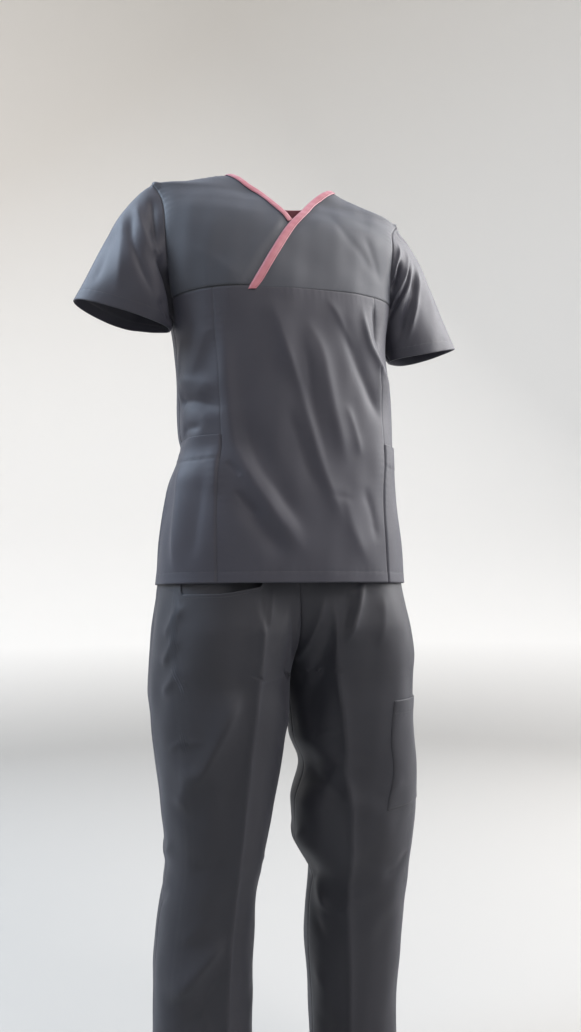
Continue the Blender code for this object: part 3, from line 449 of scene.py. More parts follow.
def back_band(share, width):
    """Points behind the neck that lie a width away from its edge, along the cloth."""
    def edge(at):
        flat = back_neck_edge(np.clip(at, 0.0, 1.0))
        return torso_by_side(flat[..., 0], flat[..., 1], behind=True)
    points = edge(share)
    away = np.cross(unit(edge(share + 0.02) - edge(share - 0.02)), torso_normal(points))
    side = np.where(share < 0.5, 1.0, -1.0)
    seam = np.stack((side * (TORSO[1][1] - TORSO[0][1]), 0.0 * share,
                     0.0 * share + TORSO[0][0] - TORSO[1][0]), axis=-1)
    seam_share = ease(1.0 - np.minimum(share, 1.0 - share) / 0.12)[..., None]
    away = unit(unit(away) * (1.0 - seam_share) + unit(seam) * seam_share)
    moved = points + away * np.asarray(width, float)[..., None]
    return torso_by_side(moved[..., 0], -moved[..., 2], behind=True)


# ------------------------------------------------------------------ trousers
def leg_point(share, drop, side, behind):
    """Points on half a leg: share 0 at the seam between the legs, 1 at the outer seam."""
    share, drop = paired(share, drop)
    table = LEG_RIGHT if side < 0 else LEG_LEFT
    middle, inner, outer, front, back, set_back = [
        column(table, LEG_COLUMNS, name, drop) for name in LEG_COLUMNS[1:]]
    seam_rows = np.array(FRONT_SEAM)
    seam = 0.0 * drop if behind else side * np.interp(drop, seam_rows[:, 0], seam_rows[:, 1])
    depth = back if behind else front
    square = np.full(drop.shape, LEG_SQUARE)
    reach = np.clip((middle - seam) / inner, 0.0, 1.0)
    stop = np.arcsin(reach ** (LEG_SQUARE / 2.0))
    spread = np.linspace(0.0, 1.0, 121)
    angle = stop[..., None] * (1.0 - spread)
    power = 2.0 / LEG_SQUARE
    in_x = middle[..., None] - inner[..., None] * np.sin(angle) ** power
    in_y = depth[..., None] * np.cos(angle) ** power
    across, deep, _ = quarter_table(outer, depth, square, 120)
    x = np.concatenate((in_x, middle[..., None] + across[..., 1:]), axis=-1)
    y = np.concatenate((in_y, deep[..., 1:]), axis=-1)
    length = np.zeros_like(x)
    length[..., 1:] = np.cumsum(np.hypot(np.diff(x), np.diff(y)), axis=-1)
    x, y = look_up(length, share * length[..., -1], x, y)
    y = set_back + (y if behind else -y)
    hips = np.array(HIP_SHIFT)
    return np.stack((side * x + smooth(hips[:, 0], hips[:, 1], drop), y, -drop), axis=-1)


def leg_across(share, drop, side, behind):
    """As leg_point, but a share just past a seam goes on into the other half of the leg."""
    inner_open = (share < 0.0) & (drop < CROTCH)
    other = (share > 1.0) | ((share < 0.0) & ~inner_open)
    folded = np.where(share > 1.0, 2.0 - share, np.abs(share))
    here = leg_point(np.where(inner_open, 0.0, folded), drop, side, behind)
    there = leg_point(folded, drop, side, not behind)
    return np.where(other[..., None], there, here)


def leg_normal(share, drop, side, behind):
    step = 0.010
    around = (leg_across(share + step, drop, side, behind)
              - leg_across(share - step, drop, side, behind))
    along = (leg_point(share, drop + NUDGE, side, behind)
             - leg_point(share, drop - NUDGE, side, behind))
    facing = unit(np.cross(around, along))
    sign = 1.0 if (side > 0) == behind else -1.0
    return facing * sign


def crease_height(points, side, behind):
    rows = np.array(CREASE)
    down = -points[..., 2]
    if behind:
        place = side * BACK_CREASE + 0.0 * down
    else:
        place = smooth(rows[:, 0], rows[:, 1 if side < 0 else 2], down)
    rise = ease((down - 0.74) / 0.06)
    return CREASE_HEIGHT * rise * np.exp(-np.abs(points[..., 0] - place) / CREASE_HALF_WIDTH)


def dressed_leg(share, drop, side, behind):
    points = leg_point(share, drop, side, behind)
    normals = leg_normal(share, drop, side, behind)
    height = folds_at(points, normals, TROUSER_FOLDS) + crease_height(points, side, behind)
    edge = ease(np.minimum(share, 1.0 - share) / 0.10)
    return points + normals * (height * edge)[..., None], normals


def mouth_opening(share):
    """1 along the mouth of a hip pocket, falling to 0 at both of its ends."""
    return ease((share - 0.14) / 0.12) * ease((0.78 - share) / 0.08)


def mouth_drop(share, side):
    """Top edge of a front leg: the waist seam, dipping down to the scooped pocket mouth."""
    low = MOUTH_LOW[side] + 0.010 * ease((share - 0.22) / 0.26)
    return WAIST_SEAM + (low - WAIST_SEAM) * mouth_opening(share)


# ------------------------------------------------------------------ creases
# Creases of the top: face, path of (sideways, drop), half width to the wearer's left and right of
# the path, height. Sideways runs along X on the front and back and along Y on the two sides.
TOP_CREASES = (
    ("front", ((-0.146, 0.257), (-0.136, 0.318), (-0.13, 0.4), (-0.124, 0.481), (-0.114, 0.521),
     (-0.095, 0.562), (-0.072, 0.601), (-0.039, 0.648), (0.009, 0.694)), 0.012, 0.018, 0.0038),
    ("front", ((-0.125, 0.577), (-0.1, 0.609), (-0.071, 0.648), (-0.04, 0.679)), 0.01, 0.02,
     -0.003),
    ("front", ((-0.112, 0.433), (-0.095, 0.497), (-0.079, 0.545), (-0.044, 0.593), (-0.006, 0.655)),
     0.014, 0.012, -0.0024),
    ("front", ((-0.062, 0.251), (-0.046, 0.316), (-0.027, 0.372), (-0.01, 0.421), (0.002, 0.469),
     (0.014, 0.517), (0.03, 0.566), (0.048, 0.614), (0.06, 0.65)), 0.009, 0.014, 0.003),
    ("front", ((-0.012, 0.313), (0.001, 0.362), (0.007, 0.427), (0.022, 0.492), (0.034, 0.541)),
     0.01, 0.01, -0.0021),
    ("front", ((-0.039, 0.431), (-0.016, 0.495), (-0.001, 0.543), (0.023, 0.59)), 0.012, 0.012,
     -0.0022),
    ("front", ((-0.012, 0.28), (0.022, 0.334), (0.036, 0.392), (0.047, 0.457), (0.063, 0.514),
     (0.075, 0.538)), 0.016, 0.014, 0.003),
    ("front", ((0.061, 0.556), (0.066, 0.621), (0.082, 0.661), (0.104, 0.7)), 0.018, 0.014, 0.0024),
    ("front", ((0.034, 0.248), (0.051, 0.271), (0.07, 0.302), (0.092, 0.336)), 0.01, 0.006, 0.0018),
    ("front", ((0.061, 0.269), (0.079, 0.327), (0.102, 0.374), (0.129, 0.422), (0.153, 0.461)),
     0.012, 0.016, -0.0032),
    ("front", ((0.109, 0.242), (0.11, 0.277), (0.123, 0.317), (0.14, 0.34), (0.161, 0.369),
     (0.172, 0.419)), 0.007, 0.009, 0.0046),
    ("front", ((0.133, 0.238), (0.139, 0.304), (0.144, 0.325)), 0.008, 0.007, -0.0044),
    ("front", ((0.066, 0.422), (0.084, 0.471), (0.096, 0.52)), 0.009, 0.014, 0.0026),
    ("front", ((0.026, 0.585), (0.052, 0.583), (0.078, 0.59)), 0.006, 0.008, -0.0008),
    ("front", ((0.096, 0.56), (0.112, 0.606), (0.12, 0.66)), 0.01, 0.012, -0.0024),
    ("right", ((-0.09, 0.42), (-0.06, 0.396), (0.0, 0.384)), 0.012, 0.026, 0.004),
    ("right", ((-0.092, 0.456), (-0.078, 0.438), (-0.05, 0.426), (0.006, 0.418)), 0.012, 0.013,
     -0.0075),
    ("right", ((-0.07, 0.474), (-0.05, 0.47), (-0.02, 0.472)), 0.008, 0.008, -0.0036),
    ("right", ((-0.06, 0.482), (-0.02, 0.486), (0.02, 0.492), (0.06, 0.486)), 0.014, 0.022, -0.005),
    ("right", ((-0.03, 0.505), (-0.044, 0.548), (-0.054, 0.6), (-0.06, 0.66), (-0.066, 0.716)),
     0.012, 0.034, 0.0085),
    ("right", ((-0.078, 0.53), (-0.086, 0.6), (-0.09, 0.7)), 0.024, 0.01, -0.004),
    ("front", ((-0.15, 0.5), (-0.147, 0.54), (-0.15, 0.59)), 0.01, 0.012, 0.0026),
    ("front", ((-0.15, 0.3), (-0.168, 0.352), (-0.176, 0.392)), 0.01, 0.014, 0.002),
    ("front", ((-0.132, 0.53), (-0.122, 0.541), (-0.11, 0.556)), 0.004, 0.005, -0.0022),
    ("front", ((-0.127, 0.576), (-0.112, 0.587), (-0.096, 0.606), (-0.081, 0.624)), 0.006, 0.006,
     -0.003),
    ("front", ((0.06, 0.06), (0.085, 0.115), (0.125, 0.165), (0.152, 0.205)), 0.014, 0.018,
     -0.0018),
    ("front", ((0.128, 0.105), (0.14, 0.15), (0.156, 0.205)), 0.01, 0.012, -0.0016),
    ("front", ((-0.19, 0.17), (-0.15, 0.2), (-0.105, 0.235)), 0.012, 0.018, 0.0014),
    ("back", ((-0.03, 0.25), (-0.062, 0.4), (-0.098, 0.56)), 0.014, 0.018, 0.0036),
    ("back", ((0.035, 0.28), (0.052, 0.43), (0.088, 0.6)), 0.018, 0.014, -0.0034),
    ("back", ((0.118, 0.24), (0.122, 0.35), (0.146, 0.5)), 0.012, 0.012, 0.0034),
    ("back", ((-0.112, 0.36), (-0.128, 0.5), (-0.124, 0.69)), 0.014, 0.016, -0.0034),
    ("back", ((0.004, 0.5), (0.02, 0.62), (0.006, 0.71)), 0.012, 0.016, 0.0032),
    ("back", ((-0.06, 0.47), (-0.02, 0.51), (0.04, 0.52), (0.09, 0.495)), 0.01, 0.014, 0.0026),
    ("back", ((-0.08, 0.5), (-0.025, 0.54), (0.045, 0.548), (0.11, 0.52)), 0.009, 0.012, -0.003),
    ("back", ((-0.17, 0.15), (-0.14, 0.23), (-0.146, 0.32)), 0.01, 0.014, -0.003),
    ("back", ((0.176, 0.14), (0.15, 0.225), (0.15, 0.3)), 0.014, 0.01, -0.003),
    ("back", ((-0.088, 0.075), (-0.05, 0.12), (0.02, 0.135), (0.084, 0.09)), 0.014, 0.018, 0.0016),
    ("left", ((-0.03, 0.3), (-0.01, 0.38), (0.016, 0.47)), 0.012, 0.012, 0.003),
    ("left", ((0.03, 0.32), (0.044, 0.42), (0.03, 0.56)), 0.014, 0.012, -0.0032),
    ("left", ((-0.04, 0.52), (-0.024, 0.61), (-0.036, 0.7)), 0.012, 0.014, 0.003),
    ("right", ((-0.03, 0.31), (-0.008, 0.38), (-0.02, 0.44)), 0.012, 0.012, 0.003),
    ("right", ((0.036, 0.3), (0.052, 0.4), (0.032, 0.52)), 0.014, 0.012, -0.0032),
    ("right", ((0.02, 0.52), (0.006, 0.61), (0.02, 0.7)), 0.014, 0.016, 0.0034),
)
TROUSER_CREASES = (
    ("front", ((0.045, 0.742), (0.026, 0.828), (0.016, 0.908), (0.018, 0.994)), 0.018, 0.01,
     -0.005),
    ("front", ((0.026, 0.736), (0.014, 0.79), (0.0, 0.85)), 0.006, 0.008, 0.0052),
    ("front", ((0.096, 0.706), (0.08, 0.76), (0.056, 0.822)), 0.006, 0.008, 0.006),
    ("front", ((0.068, 0.724), (0.06, 0.768), (0.046, 0.806)), 0.007, 0.008, -0.004),
    ("front", ((0.128, 0.735), (0.124, 0.78), (0.112, 0.83)), 0.01, 0.012, 0.0022),
    ("right", ((-0.054, 0.806), (-0.07, 0.778), (-0.084, 0.75)), 0.009, 0.012, 0.0034),
    ("right", ((-0.052, 0.85), (-0.068, 0.824), (-0.086, 0.796)), 0.008, 0.012, 0.0038),
    ("right", ((-0.054, 0.892), (-0.072, 0.872), (-0.092, 0.846)), 0.008, 0.01, 0.0032),
    ("right", ((-0.064, 0.972), (-0.08, 0.962), (-0.096, 0.957), (-0.114, 0.954)), 0.0034, 0.004,
     0.002),
    ("front", ((-0.112, 0.868), (-0.126, 0.905), (-0.147, 0.952), (-0.166, 0.992), (-0.186, 1.034)),
     0.011, 0.024, 0.009),
    ("right", ((-0.106, 0.985), (-0.09, 1.02), (-0.07, 1.062)), 0.016, 0.02, 0.005),
    ("front", ((-0.092, 0.9), (-0.108, 0.975), (-0.128, 1.035), (-0.15, 1.075)), 0.014, 0.012,
     -0.0045),
    ("front", ((-0.084, 0.726), (-0.08, 0.76), (-0.077, 0.8)), 0.005, 0.006, -0.003),
    ("front", ((-0.062, 0.726), (-0.066, 0.756), (-0.072, 0.792)), 0.006, 0.005, 0.003),
    ("front", ((-0.056, 0.896), (-0.036, 0.922), (-0.012, 0.95)), 0.004, 0.005, 0.0018),
    ("front", ((-0.032, 0.74), (-0.024, 0.8), (-0.014, 0.862)), 0.008, 0.01, -0.003),
    ("front", ((-0.12, 1.236), (-0.146, 1.262), (-0.178, 1.3), (-0.208, 1.342)), 0.013, 0.02,
     0.0075),
    ("front", ((-0.122, 1.28), (-0.152, 1.318), (-0.19, 1.378)), 0.012, 0.014, -0.0044),
    ("right", ((-0.094, 1.2), (-0.078, 1.228), (-0.064, 1.256)), 0.008, 0.012, 0.0026),
    ("front", ((-0.13, 1.126), (-0.156, 1.14), (-0.184, 1.146)), 0.012, 0.014, -0.0028),
    ("front", ((-0.046, 1.126), (-0.054, 1.15), (-0.06, 1.172)), 0.004, 0.006, -0.002),
    ("front", ((-0.07, 1.33), (-0.086, 1.39), (-0.078, 1.45)), 0.01, 0.012, 0.0026),
    ("front", ((0.036, 1.186), (0.041, 1.214), (0.05, 1.252)), 0.005, 0.009, 0.005),
    ("front", ((0.024, 1.2), (0.032, 1.25), (0.048, 1.3)), 0.008, 0.008, -0.0034),
    ("front", ((0.034, 1.33), (0.046, 1.37), (0.044, 1.42)), 0.007, 0.009, 0.003),
    ("front", ((0.006, 0.99), (0.03, 1.03), (0.066, 1.06)), 0.01, 0.014, -0.0036),
    ("front", ((0.16, 1.03), (0.13, 1.05), (0.104, 1.046)), 0.012, 0.014, 0.0012),
    ("front", ((0.186, 1.15), (0.156, 1.18), (0.12, 1.19)), 0.01, 0.014, -0.0024),
    ("back", ((0.02, 0.86), (0.07, 0.9), (0.15, 0.915)), 0.01, 0.014, -0.005),
    ("back", ((-0.02, 0.86), (-0.07, 0.902), (-0.15, 0.92)), 0.014, 0.01, -0.005),
    ("back", ((0.03, 0.9), (0.08, 0.945), (0.165, 0.95)), 0.01, 0.014, 0.0045),
    ("back", ((-0.03, 0.9), (-0.085, 0.95), (-0.17, 0.96)), 0.014, 0.01, 0.0045),
    ("back", ((0.06, 1.11), (0.11, 1.128), (0.17, 1.104)), 0.01, 0.01, 0.005),
    ("back", ((-0.06, 1.12), (-0.12, 1.14), (-0.18, 1.112)), 0.01, 0.01, 0.005),
    ("back", ((0.064, 1.15), (0.112, 1.172), (0.168, 1.15)), 0.008, 0.01, -0.0045),
    ("back", ((-0.066, 1.16), (-0.124, 1.18), (-0.186, 1.16)), 0.01, 0.008, -0.0045),
    ("back", ((0.072, 1.21), (0.112, 1.226), (0.156, 1.206)), 0.008, 0.01, 0.003),
    ("back", ((-0.078, 1.22), (-0.128, 1.236), (-0.184, 1.214)), 0.01, 0.008, 0.003),
    ("back", ((0.07, 1.3), (0.084, 1.38), (0.076, 1.46)), 0.012, 0.014, 0.003),
    ("back", ((-0.168, 1.29), (-0.158, 1.37), (-0.17, 1.46)), 0.012, 0.014, 0.003),
    ("left", ((-0.04, 0.7), (-0.02, 0.78), (-0.03, 0.88)), 0.012, 0.014, 0.003),
    ("left", ((0.04, 0.72), (0.02, 0.8), (0.034, 0.9)), 0.012, 0.014, -0.003),
    ("left", ((-0.05, 1.14), (0.0, 1.166), (0.048, 1.14)), 0.01, 0.012, 0.0036),
    ("right", ((0.04, 0.72), (0.016, 0.8), (0.036, 0.9)), 0.014, 0.014, -0.0034),
    ("right", ((-0.05, 1.11), (0.0, 1.14), (0.05, 1.112)), 0.01, 0.012, 0.0036),
    ("right", ((-0.04, 1.18), (0.0, 1.206), (0.05, 1.18)), 0.01, 0.012, -0.003),
)
# Creases of each sleeve, right (-1) and left (1)
SLEEVE_CREASES = {
    -1: (
        ("front", ((-0.259, 0.079), (-0.257, 0.127), (-0.247, 0.164), (-0.238, 0.196)), 0.006,
         0.012, 0.0036),
        ("front", ((-0.238, 0.072), (-0.238, 0.11), (-0.236, 0.15), (-0.228, 0.178)), 0.01, 0.007,
         -0.0062),
        ("front", ((-0.237, 0.176), (-0.231, 0.186), (-0.223, 0.192)), 0.005, 0.005, 0.004),
        ("front", ((-0.235, 0.19), (-0.221, 0.212), (-0.211, 0.234), (-0.203, 0.262),
         (-0.199, 0.296)), 0.009, 0.004, -0.02),
        ("front", ((-0.268, 0.098), (-0.272, 0.158), (-0.264, 0.199), (-0.252, 0.23),
         (-0.234, 0.268)), 0.01, 0.007, -0.0042),
        ("front", ((-0.279, 0.09), (-0.286, 0.164), (-0.29, 0.21), (-0.293, 0.27)), 0.009, 0.014,
         0.0034),
        ("front", ((-0.298, 0.13), (-0.314, 0.19), (-0.334, 0.245)), 0.01, 0.014, -0.0032),
        ("front", ((-0.23, 0.258), (-0.218, 0.278), (-0.204, 0.3)), 0.01, 0.008, -0.004),
        ("back", ((-0.25, 0.09), (-0.262, 0.16), (-0.258, 0.24)), 0.01, 0.012, 0.0044),
        ("back", ((-0.232, 0.11), (-0.23, 0.18), (-0.214, 0.26)), 0.009, 0.008, -0.0085),
        ("back", ((-0.246, 0.12), (-0.243, 0.18), (-0.228, 0.235)), 0.005, 0.007, 0.0044),
        ("back", ((-0.29, 0.14), (-0.3, 0.2), (-0.31, 0.25)), 0.012, 0.012, -0.0032),
    ),
    1: (
        ("front", ((0.214, 0.096), (0.205, 0.128), (0.197, 0.151), (0.186, 0.185), (0.177, 0.208)),
         0.004, 0.004, 0.0045),
        ("front", ((0.208, 0.134), (0.199, 0.165), (0.19, 0.186), (0.181, 0.21)), 0.005, 0.004,
         -0.0095),
        ("front", ((0.234, 0.096), (0.226, 0.142), (0.214, 0.168), (0.203, 0.19), (0.192, 0.217),
         (0.178, 0.25)), 0.005, 0.005, 0.0058),
        ("front", ((0.235, 0.118), (0.221, 0.17), (0.206, 0.202), (0.192, 0.228), (0.18, 0.258)),
         0.004, 0.004, -0.0085),
        ("front", ((0.248, 0.112), (0.231, 0.16), (0.217, 0.189), (0.202, 0.222), (0.191, 0.258)),
         0.007, 0.006, 0.0045),
        ("front", ((0.245, 0.14), (0.236, 0.185), (0.224, 0.216), (0.211, 0.248), (0.202, 0.298)),
         0.007, 0.01, -0.0075),
        ("front", ((0.254, 0.12), (0.246, 0.177), (0.233, 0.222), (0.225, 0.262), (0.221, 0.298)),
         0.007, 0.005, 0.0048),
        ("front", ((0.219, 0.058), (0.225, 0.07), (0.229, 0.086)), 0.003, 0.003, -0.003),
        ("front", ((0.232, 0.06), (0.237, 0.074), (0.239, 0.092)), 0.004, 0.003, -0.0024),
        ("back", ((0.25, 0.09), (0.262, 0.16), (0.26, 0.24)), 0.01, 0.012, 0.0044),
        ("back", ((0.234, 0.11), (0.23, 0.18), (0.212, 0.25)), 0.009, 0.008, -0.0085),
        ("back", ((0.246, 0.12), (0.243, 0.18), (0.228, 0.235)), 0.007, 0.005, 0.0044),
        ("back", ((0.29, 0.15), (0.304, 0.21), (0.316, 0.26)), 0.012, 0.012, -0.0032),
    ),
}
RIPPLE_WAVES = 9
RIPPLE_SEED = 11
RIPPLE_HEIGHT = 0.0007
RIPPLE_SHORT, RIPPLE_LONG = 0.035, 0.110
PRESSED_SHARE = 0.9        # how much higher than in the plain form the pressed creases stand
CREST_ROUND = 0.42         # how round the top of a crease is, as a share of its half width
CREST_FALL = 1.7           # how fast its sides run out
CREST_REACH = 3.6          # half widths from its crest to where a crease is no longer felt
CREASE_TAPER = 0.30        # share of a crease's length over which each of its ends runs out
# Seams: how deep the groove is, and how much painted shade darkens the cloth in it
SEAMS = {"plain": (0.0011, 0.0), "yoke": (0.0011, 0.85), "princess": (0.0004, 0.12),
         "armhole": (0.0010, 0.45), "leg": (0.0006, 0.0)}
SEAM_WIDTH = 0.0020
PUCKER_HEIGHT = 0.00045
PUCKER_LENGTH = 0.011
PUCKER_CLEAR, PUCKER_FADE = 0.003, 0.010    # where they start and how fast they run out
HEM_WAVE = 0.014           # from one pucker to the next along a hem
DENT_WIDTH = 0.0016        # half width of the dent that a row of stitches presses in
DENT_REACH = 0.006         # how far from that row its puckers reach
HEM_RELIEF = (0.0002, 0.0002, 0.00012)      # height of a hem, of its dent and of its puckers
MOUTH_RELIEF = (0.0004, 0.0007, 0.0002)     # the same along the mouth of a side pocket
MOUTH_WAVE = 0.016
TIP_RISE = 0.0050          # the peak at the end of each shoulder seam
TIP_WIDE, TIP_TALL = 0.0050, 0.010


def curve_through(knots, pieces=5):
    """Points on a smooth curve through the knots."""
    knots = np.asarray(knots, float)
    ends = np.concatenate((2 * knots[:1] - knots[1:2], knots, 2 * knots[-1:] - knots[-2:-1]))
    share = np.linspace(0.0, 1.0, pieces + 1)[:-1, None]
    spans = []
    for before, start, end, after in zip(ends[:-3], ends[1:-2], ends[2:-1], ends[3:]):
        spans.append(0.5 * (2 * start + (end - before) * share
                            + (2 * before - 5 * start + 4 * end - after) * share ** 2
                            + (3 * start - before - 3 * end + after) * share ** 3))
    return np.concatenate(spans + [knots[-1:]])


def beside_path(across, down, knots):
    """How far places lie to the side of a path, with a sign, and the share of it reached."""
    line = curve_through(knots)
    steps = np.hypot(*np.diff(line, axis=0).T)
    reached = np.concatenate(((0.0,), np.cumsum(steps))) / steps.sum()
    nearest = np.full(across.shape, 9.0)
    side = np.zeros(across.shape)
    share = np.zeros(across.shape)
    for number, step in enumerate(steps):
        start = line[number]
        run = (line[number + 1] - start) / step
        along = np.clip((across - start[0]) * run[0] + (down - start[1]) * run[1], 0.0, step)
        gap = np.hypot(across - start[0] - along * run[0], down - start[1] - along * run[1])
        closer = gap < nearest
        nearest = np.where(closer, gap, nearest)
        turned = (across - start[0]) * run[1] - (down - start[1]) * run[0]
        side = np.where(closer, np.sign(turned), side)
        share = np.where(closer, reached[number] + along / steps.sum(), share)
    return nearest * side, share


def creases_at(points, normals, table):
    """Height of the creases in a table at points of a form."""
    height = np.zeros(points.shape[:-1])
    for face, knots, left, right, rise in table:
        axis, sign = FACES[face]
        across, down = points[..., 1 - axis], -points[..., 2]
        low, high = np.min(knots, axis=0), np.max(knots, axis=0)
        reach = CREST_REACH * max(left, right)
        near = ((normals[..., axis] * sign > 0.0) & (across > low[0] - reach)
                & (across < high[0] + reach) & (down > low[1] - reach)
                & (down < high[1] + reach))
        if not near.any():
            continue
        beside, share = beside_path(across[near], down[near], knots)
        width = np.where(beside > 0.0, left, right)
        taper = ease(share / CREASE_TAPER) * ease((1.0 - share) / CREASE_TAPER)
        facing = ease(normals[near][:, axis] * sign / 0.35)
        crest = np.exp(CREST_FALL * (CREST_ROUND - np.hypot(beside / width, CREST_ROUND)))
        height[near] += rise * crest * taper * facing
    return height


def ripple(points):
    """Soft uneven swell of cloth, the same for any piece that passes through a point."""
    chance = np.random.RandomState(RIPPLE_SEED)
    height = np.zeros(points.shape[:-1])
    for number in range(RIPPLE_WAVES):
        direction = chance.normal(size=3) * np.array((1.0, 1.0, 0.45))
        direction /= np.linalg.norm(direction)
        length = chance.uniform(RIPPLE_SHORT, RIPPLE_LONG)
        phase = chance.uniform(0.0, 2.0 * np.pi)
        height += np.sin(points @ direction * (2.0 * np.pi / length) + phase) * length / RIPPLE_LONG
    return height * RIPPLE_HEIGHT / np.sqrt(RIPPLE_WAVES) * 2.0


def turned_edge(gap, depth, wave, raised, dent, pucker):
    """Height of the doubled cloth along an edge, with the dent and puckers of its stitches."""
    height = raised * ease((depth - gap) / DENT_WIDTH + 0.5)
    height = height - dent * np.exp(-((gap - depth) / DENT_WIDTH) ** 2)
    return height + pucker * wave * np.exp(-((gap - depth) / DENT_REACH) ** 2)


def edge_height(away, run_along, seams, hem=None, hem_depth=0.0):
    """Grooves at the sewn edges of a piece, their puckers, and the doubled cloth of a hem."""
    height = np.zeros(away["top"].shape)
    for number, (edge, kind) in enumerate(seams.items()):
        gap, along = away[edge], run_along[edge]
        wave = np.sin(2.0 * np.pi * along / PUCKER_LENGTH + 2.2 * np.sin(along / 0.021 + number))
        strength = 0.55 + 0.45 * np.sin(along / 0.047 + 2.0 * number)
        height = height - SEAMS[kind][0] * np.exp(-(gap / SEAM_WIDTH) ** 2)
        fade = (1.0 - np.exp(-(gap / PUCKER_CLEAR) ** 2)) * np.exp(-gap / PUCKER_FADE)
        height = height + PUCKER_HEIGHT * wave * strength * fade
    if hem:
        along = run_along[hem]
        wave = np.sin(2.0 * np.pi * along / HEM_WAVE + 1.8 * np.sin(along / 0.034))
        height = height + turned_edge(away[hem], hem_depth, wave, *HEM_RELIEF)
    return height


def tip_bump(points):
    """The ends of the shoulder and armhole seams, which push the cloth up to a small peak."""
    beside = np.abs(np.abs(points[..., 0]) - TORSO[3][1])
    below = np.abs(points[..., 2] + SHOULDER_DROP)
    return TIP_RISE * np.exp(-(beside / TIP_WIDE) ** 2 - (below / TIP_TALL) ** 2)


def spread(length, step, start=(), end=()):
    """Shares of a length about a step apart, with extra stops close to its two ends."""
    extra = np.array(list(start) + [length - gap for gap in end])
    count = max(int(np.ceil(length / step)), 1)
    places = np.linspace(0.0, length, count + 1)
    if len(extra):
        clear = np.abs(places[:, None] - extra[None, :]).min(axis=1) > 0.45 * step
        clear[0] = clear[-1] = True
        places = np.concatenate((places[clear], extra))
    return np.unique(np.round(places / length, 6))


SEAM_STOPS = (0.0009, 0.0020, 0.0034, 0.0052)


def hem_stops(depth):
    return (0.0012, depth - 0.0018, depth - 0.0006, depth + 0.0006, depth + 0.0018)


# ------------------------------------------------------------------ places on the top
BAND_SHARE = 0.08          # share of a yoke's width in the strip along its neck edge
BEARER_START, BEARER_END = 0.1, 0.8     # share of a front leg behind a hip pocket mouth
# Thigh pocket: its front edge, the lean of that edge and its back edge, as shares of half a leg
CARGO_START, CARGO_LEAN, CARGO_END = 0.590, -0.045, 1.2
GATHERS = 84               # gathers round the waistband
GATHER_HEIGHT = 0.0012


def dress(points, normals, table, more=0.0):
    """A form with its creases and ripples, and more height where that is asked for."""
    height = creases_at(points, normals, table) + ripple(points) + more
    return points + normals * height[..., None], normals


def front_panel_place():
    spans = np.linspace(0.0, 1.0, 61)
    tops = top_under_yoke(lambda drop: (2 * spans - 1) * seam_turn(drop),
                          np.full(len(spans), YOKE_DROP))

    def place(u, v):
        top = np.interp(u, spans, tops)
        drop = top + (TOP_HEM - top) * v
        points = torso_by_turn((2.0 * u - 1.0) * seam_turn(drop), drop)
        points, normals = dressed_torso(points)
        return dress(points, normals, TOP_CREASES)
    return place


def side_front_place(side):
    """Side front panel; u runs from the princess seam to the side seam."""
    corner = armhole_corner(side)
    arm = armhole(np.linspace(corner, np.pi, 61), side)
    plain = np.linspace(0.0, 1.0, 41)[:-1]
    corner_drop = -arm[0, 2]
    half, front, _, square, shift = torso_columns(-arm[:, 2])
    across, deep, length = quarter_table(half, front, square)
    reached = look_up(deep[..., ::-1], -arm[:, 1], length[..., ::-1])[0]
    arm_turn = reached / length[..., -1]
    corner_share = (arm_turn[0] - seam_turn(corner_drop)) / (1.0 - seam_turn(corner_drop))

    def turn_of(drop):
        seam = seam_turn(drop)
        return side * (seam + (1.0 - seam) * plain * corner_share)

    tops = np.concatenate((top_under_yoke(turn_of, np.full(len(plain), corner_drop)),
                           -arm[:, 2]))
    seam = seam_turn(-arm[:, 2])
    shares = np.concatenate((plain * corner_share, (arm_turn - seam) / (1.0 - seam)))
    shares[-1] = 1.0

    def place(u, v, start=None):
        top = np.interp(u, shares, tops) if start is None else start + 0.0 * u
        drop = top + (TOP_HEM - top) * v
        seams = seam_turn(drop)
        points = torso_by_turn(side * (seams + (1.0 - seams) * u), drop)
        points, normals = dressed_torso(points)
        return dress(points, normals, TOP_CREASES)
    return place


def yoke_flat(side, u, v):
    """Flat places (sideways, drop) of a front yoke; u runs out from the neck edge."""
    neck = NECK_RIGHT if side < 0 else NECK_LEFT
    crossing = share_at_drop(neck, V_DROP if side < 0 else V_DROP + 0.009)
    last = YOKE_ROWS - 5
    stops = np.concatenate((np.linspace(0.0, 1.0, last + 1) ** 1.5 * crossing,
                            crossing + (1.0 - crossing) * np.linspace(0.0, 1.0, 6)[1:]))

    def edge_at(row):
        return path(neck, np.interp(row * YOKE_ROWS, np.arange(YOKE_ROWS + 1), stops))

    edge = edge_at(v)
    ahead, behind = edge_at(np.minimum(v + 0.05, 1.0)), edge_at(np.maximum(v - 0.05, 0.0))
    arm = armhole(armhole_corner(side) * v ** 1.15, side)
    far = np.stack((arm[..., 0], -arm[..., 2]), axis=-1)
    slope = ahead - behind
    across = unit(np.stack((slope[..., 1], -slope[..., 0]), axis=-1)) * side
    straight = unit(far - edge)
    ends = np.clip(np.maximum(1.0 - v * YOKE_ROWS, 1.0 - (1.0 - v) * YOKE_ROWS), 0.0, 1.0)
    across = unit(across * (1.0 - ends[..., None]) + straight * ends[..., None])
    band = edge + across * BAND
    near = np.minimum(u / BAND_SHARE, 1.0)[..., None]
    rest = np.clip((u - BAND_SHARE) / (1.0 - BAND_SHARE), 0.0, 1.0)[..., None]
    return edge + (band - edge) * near + (far - band) * rest


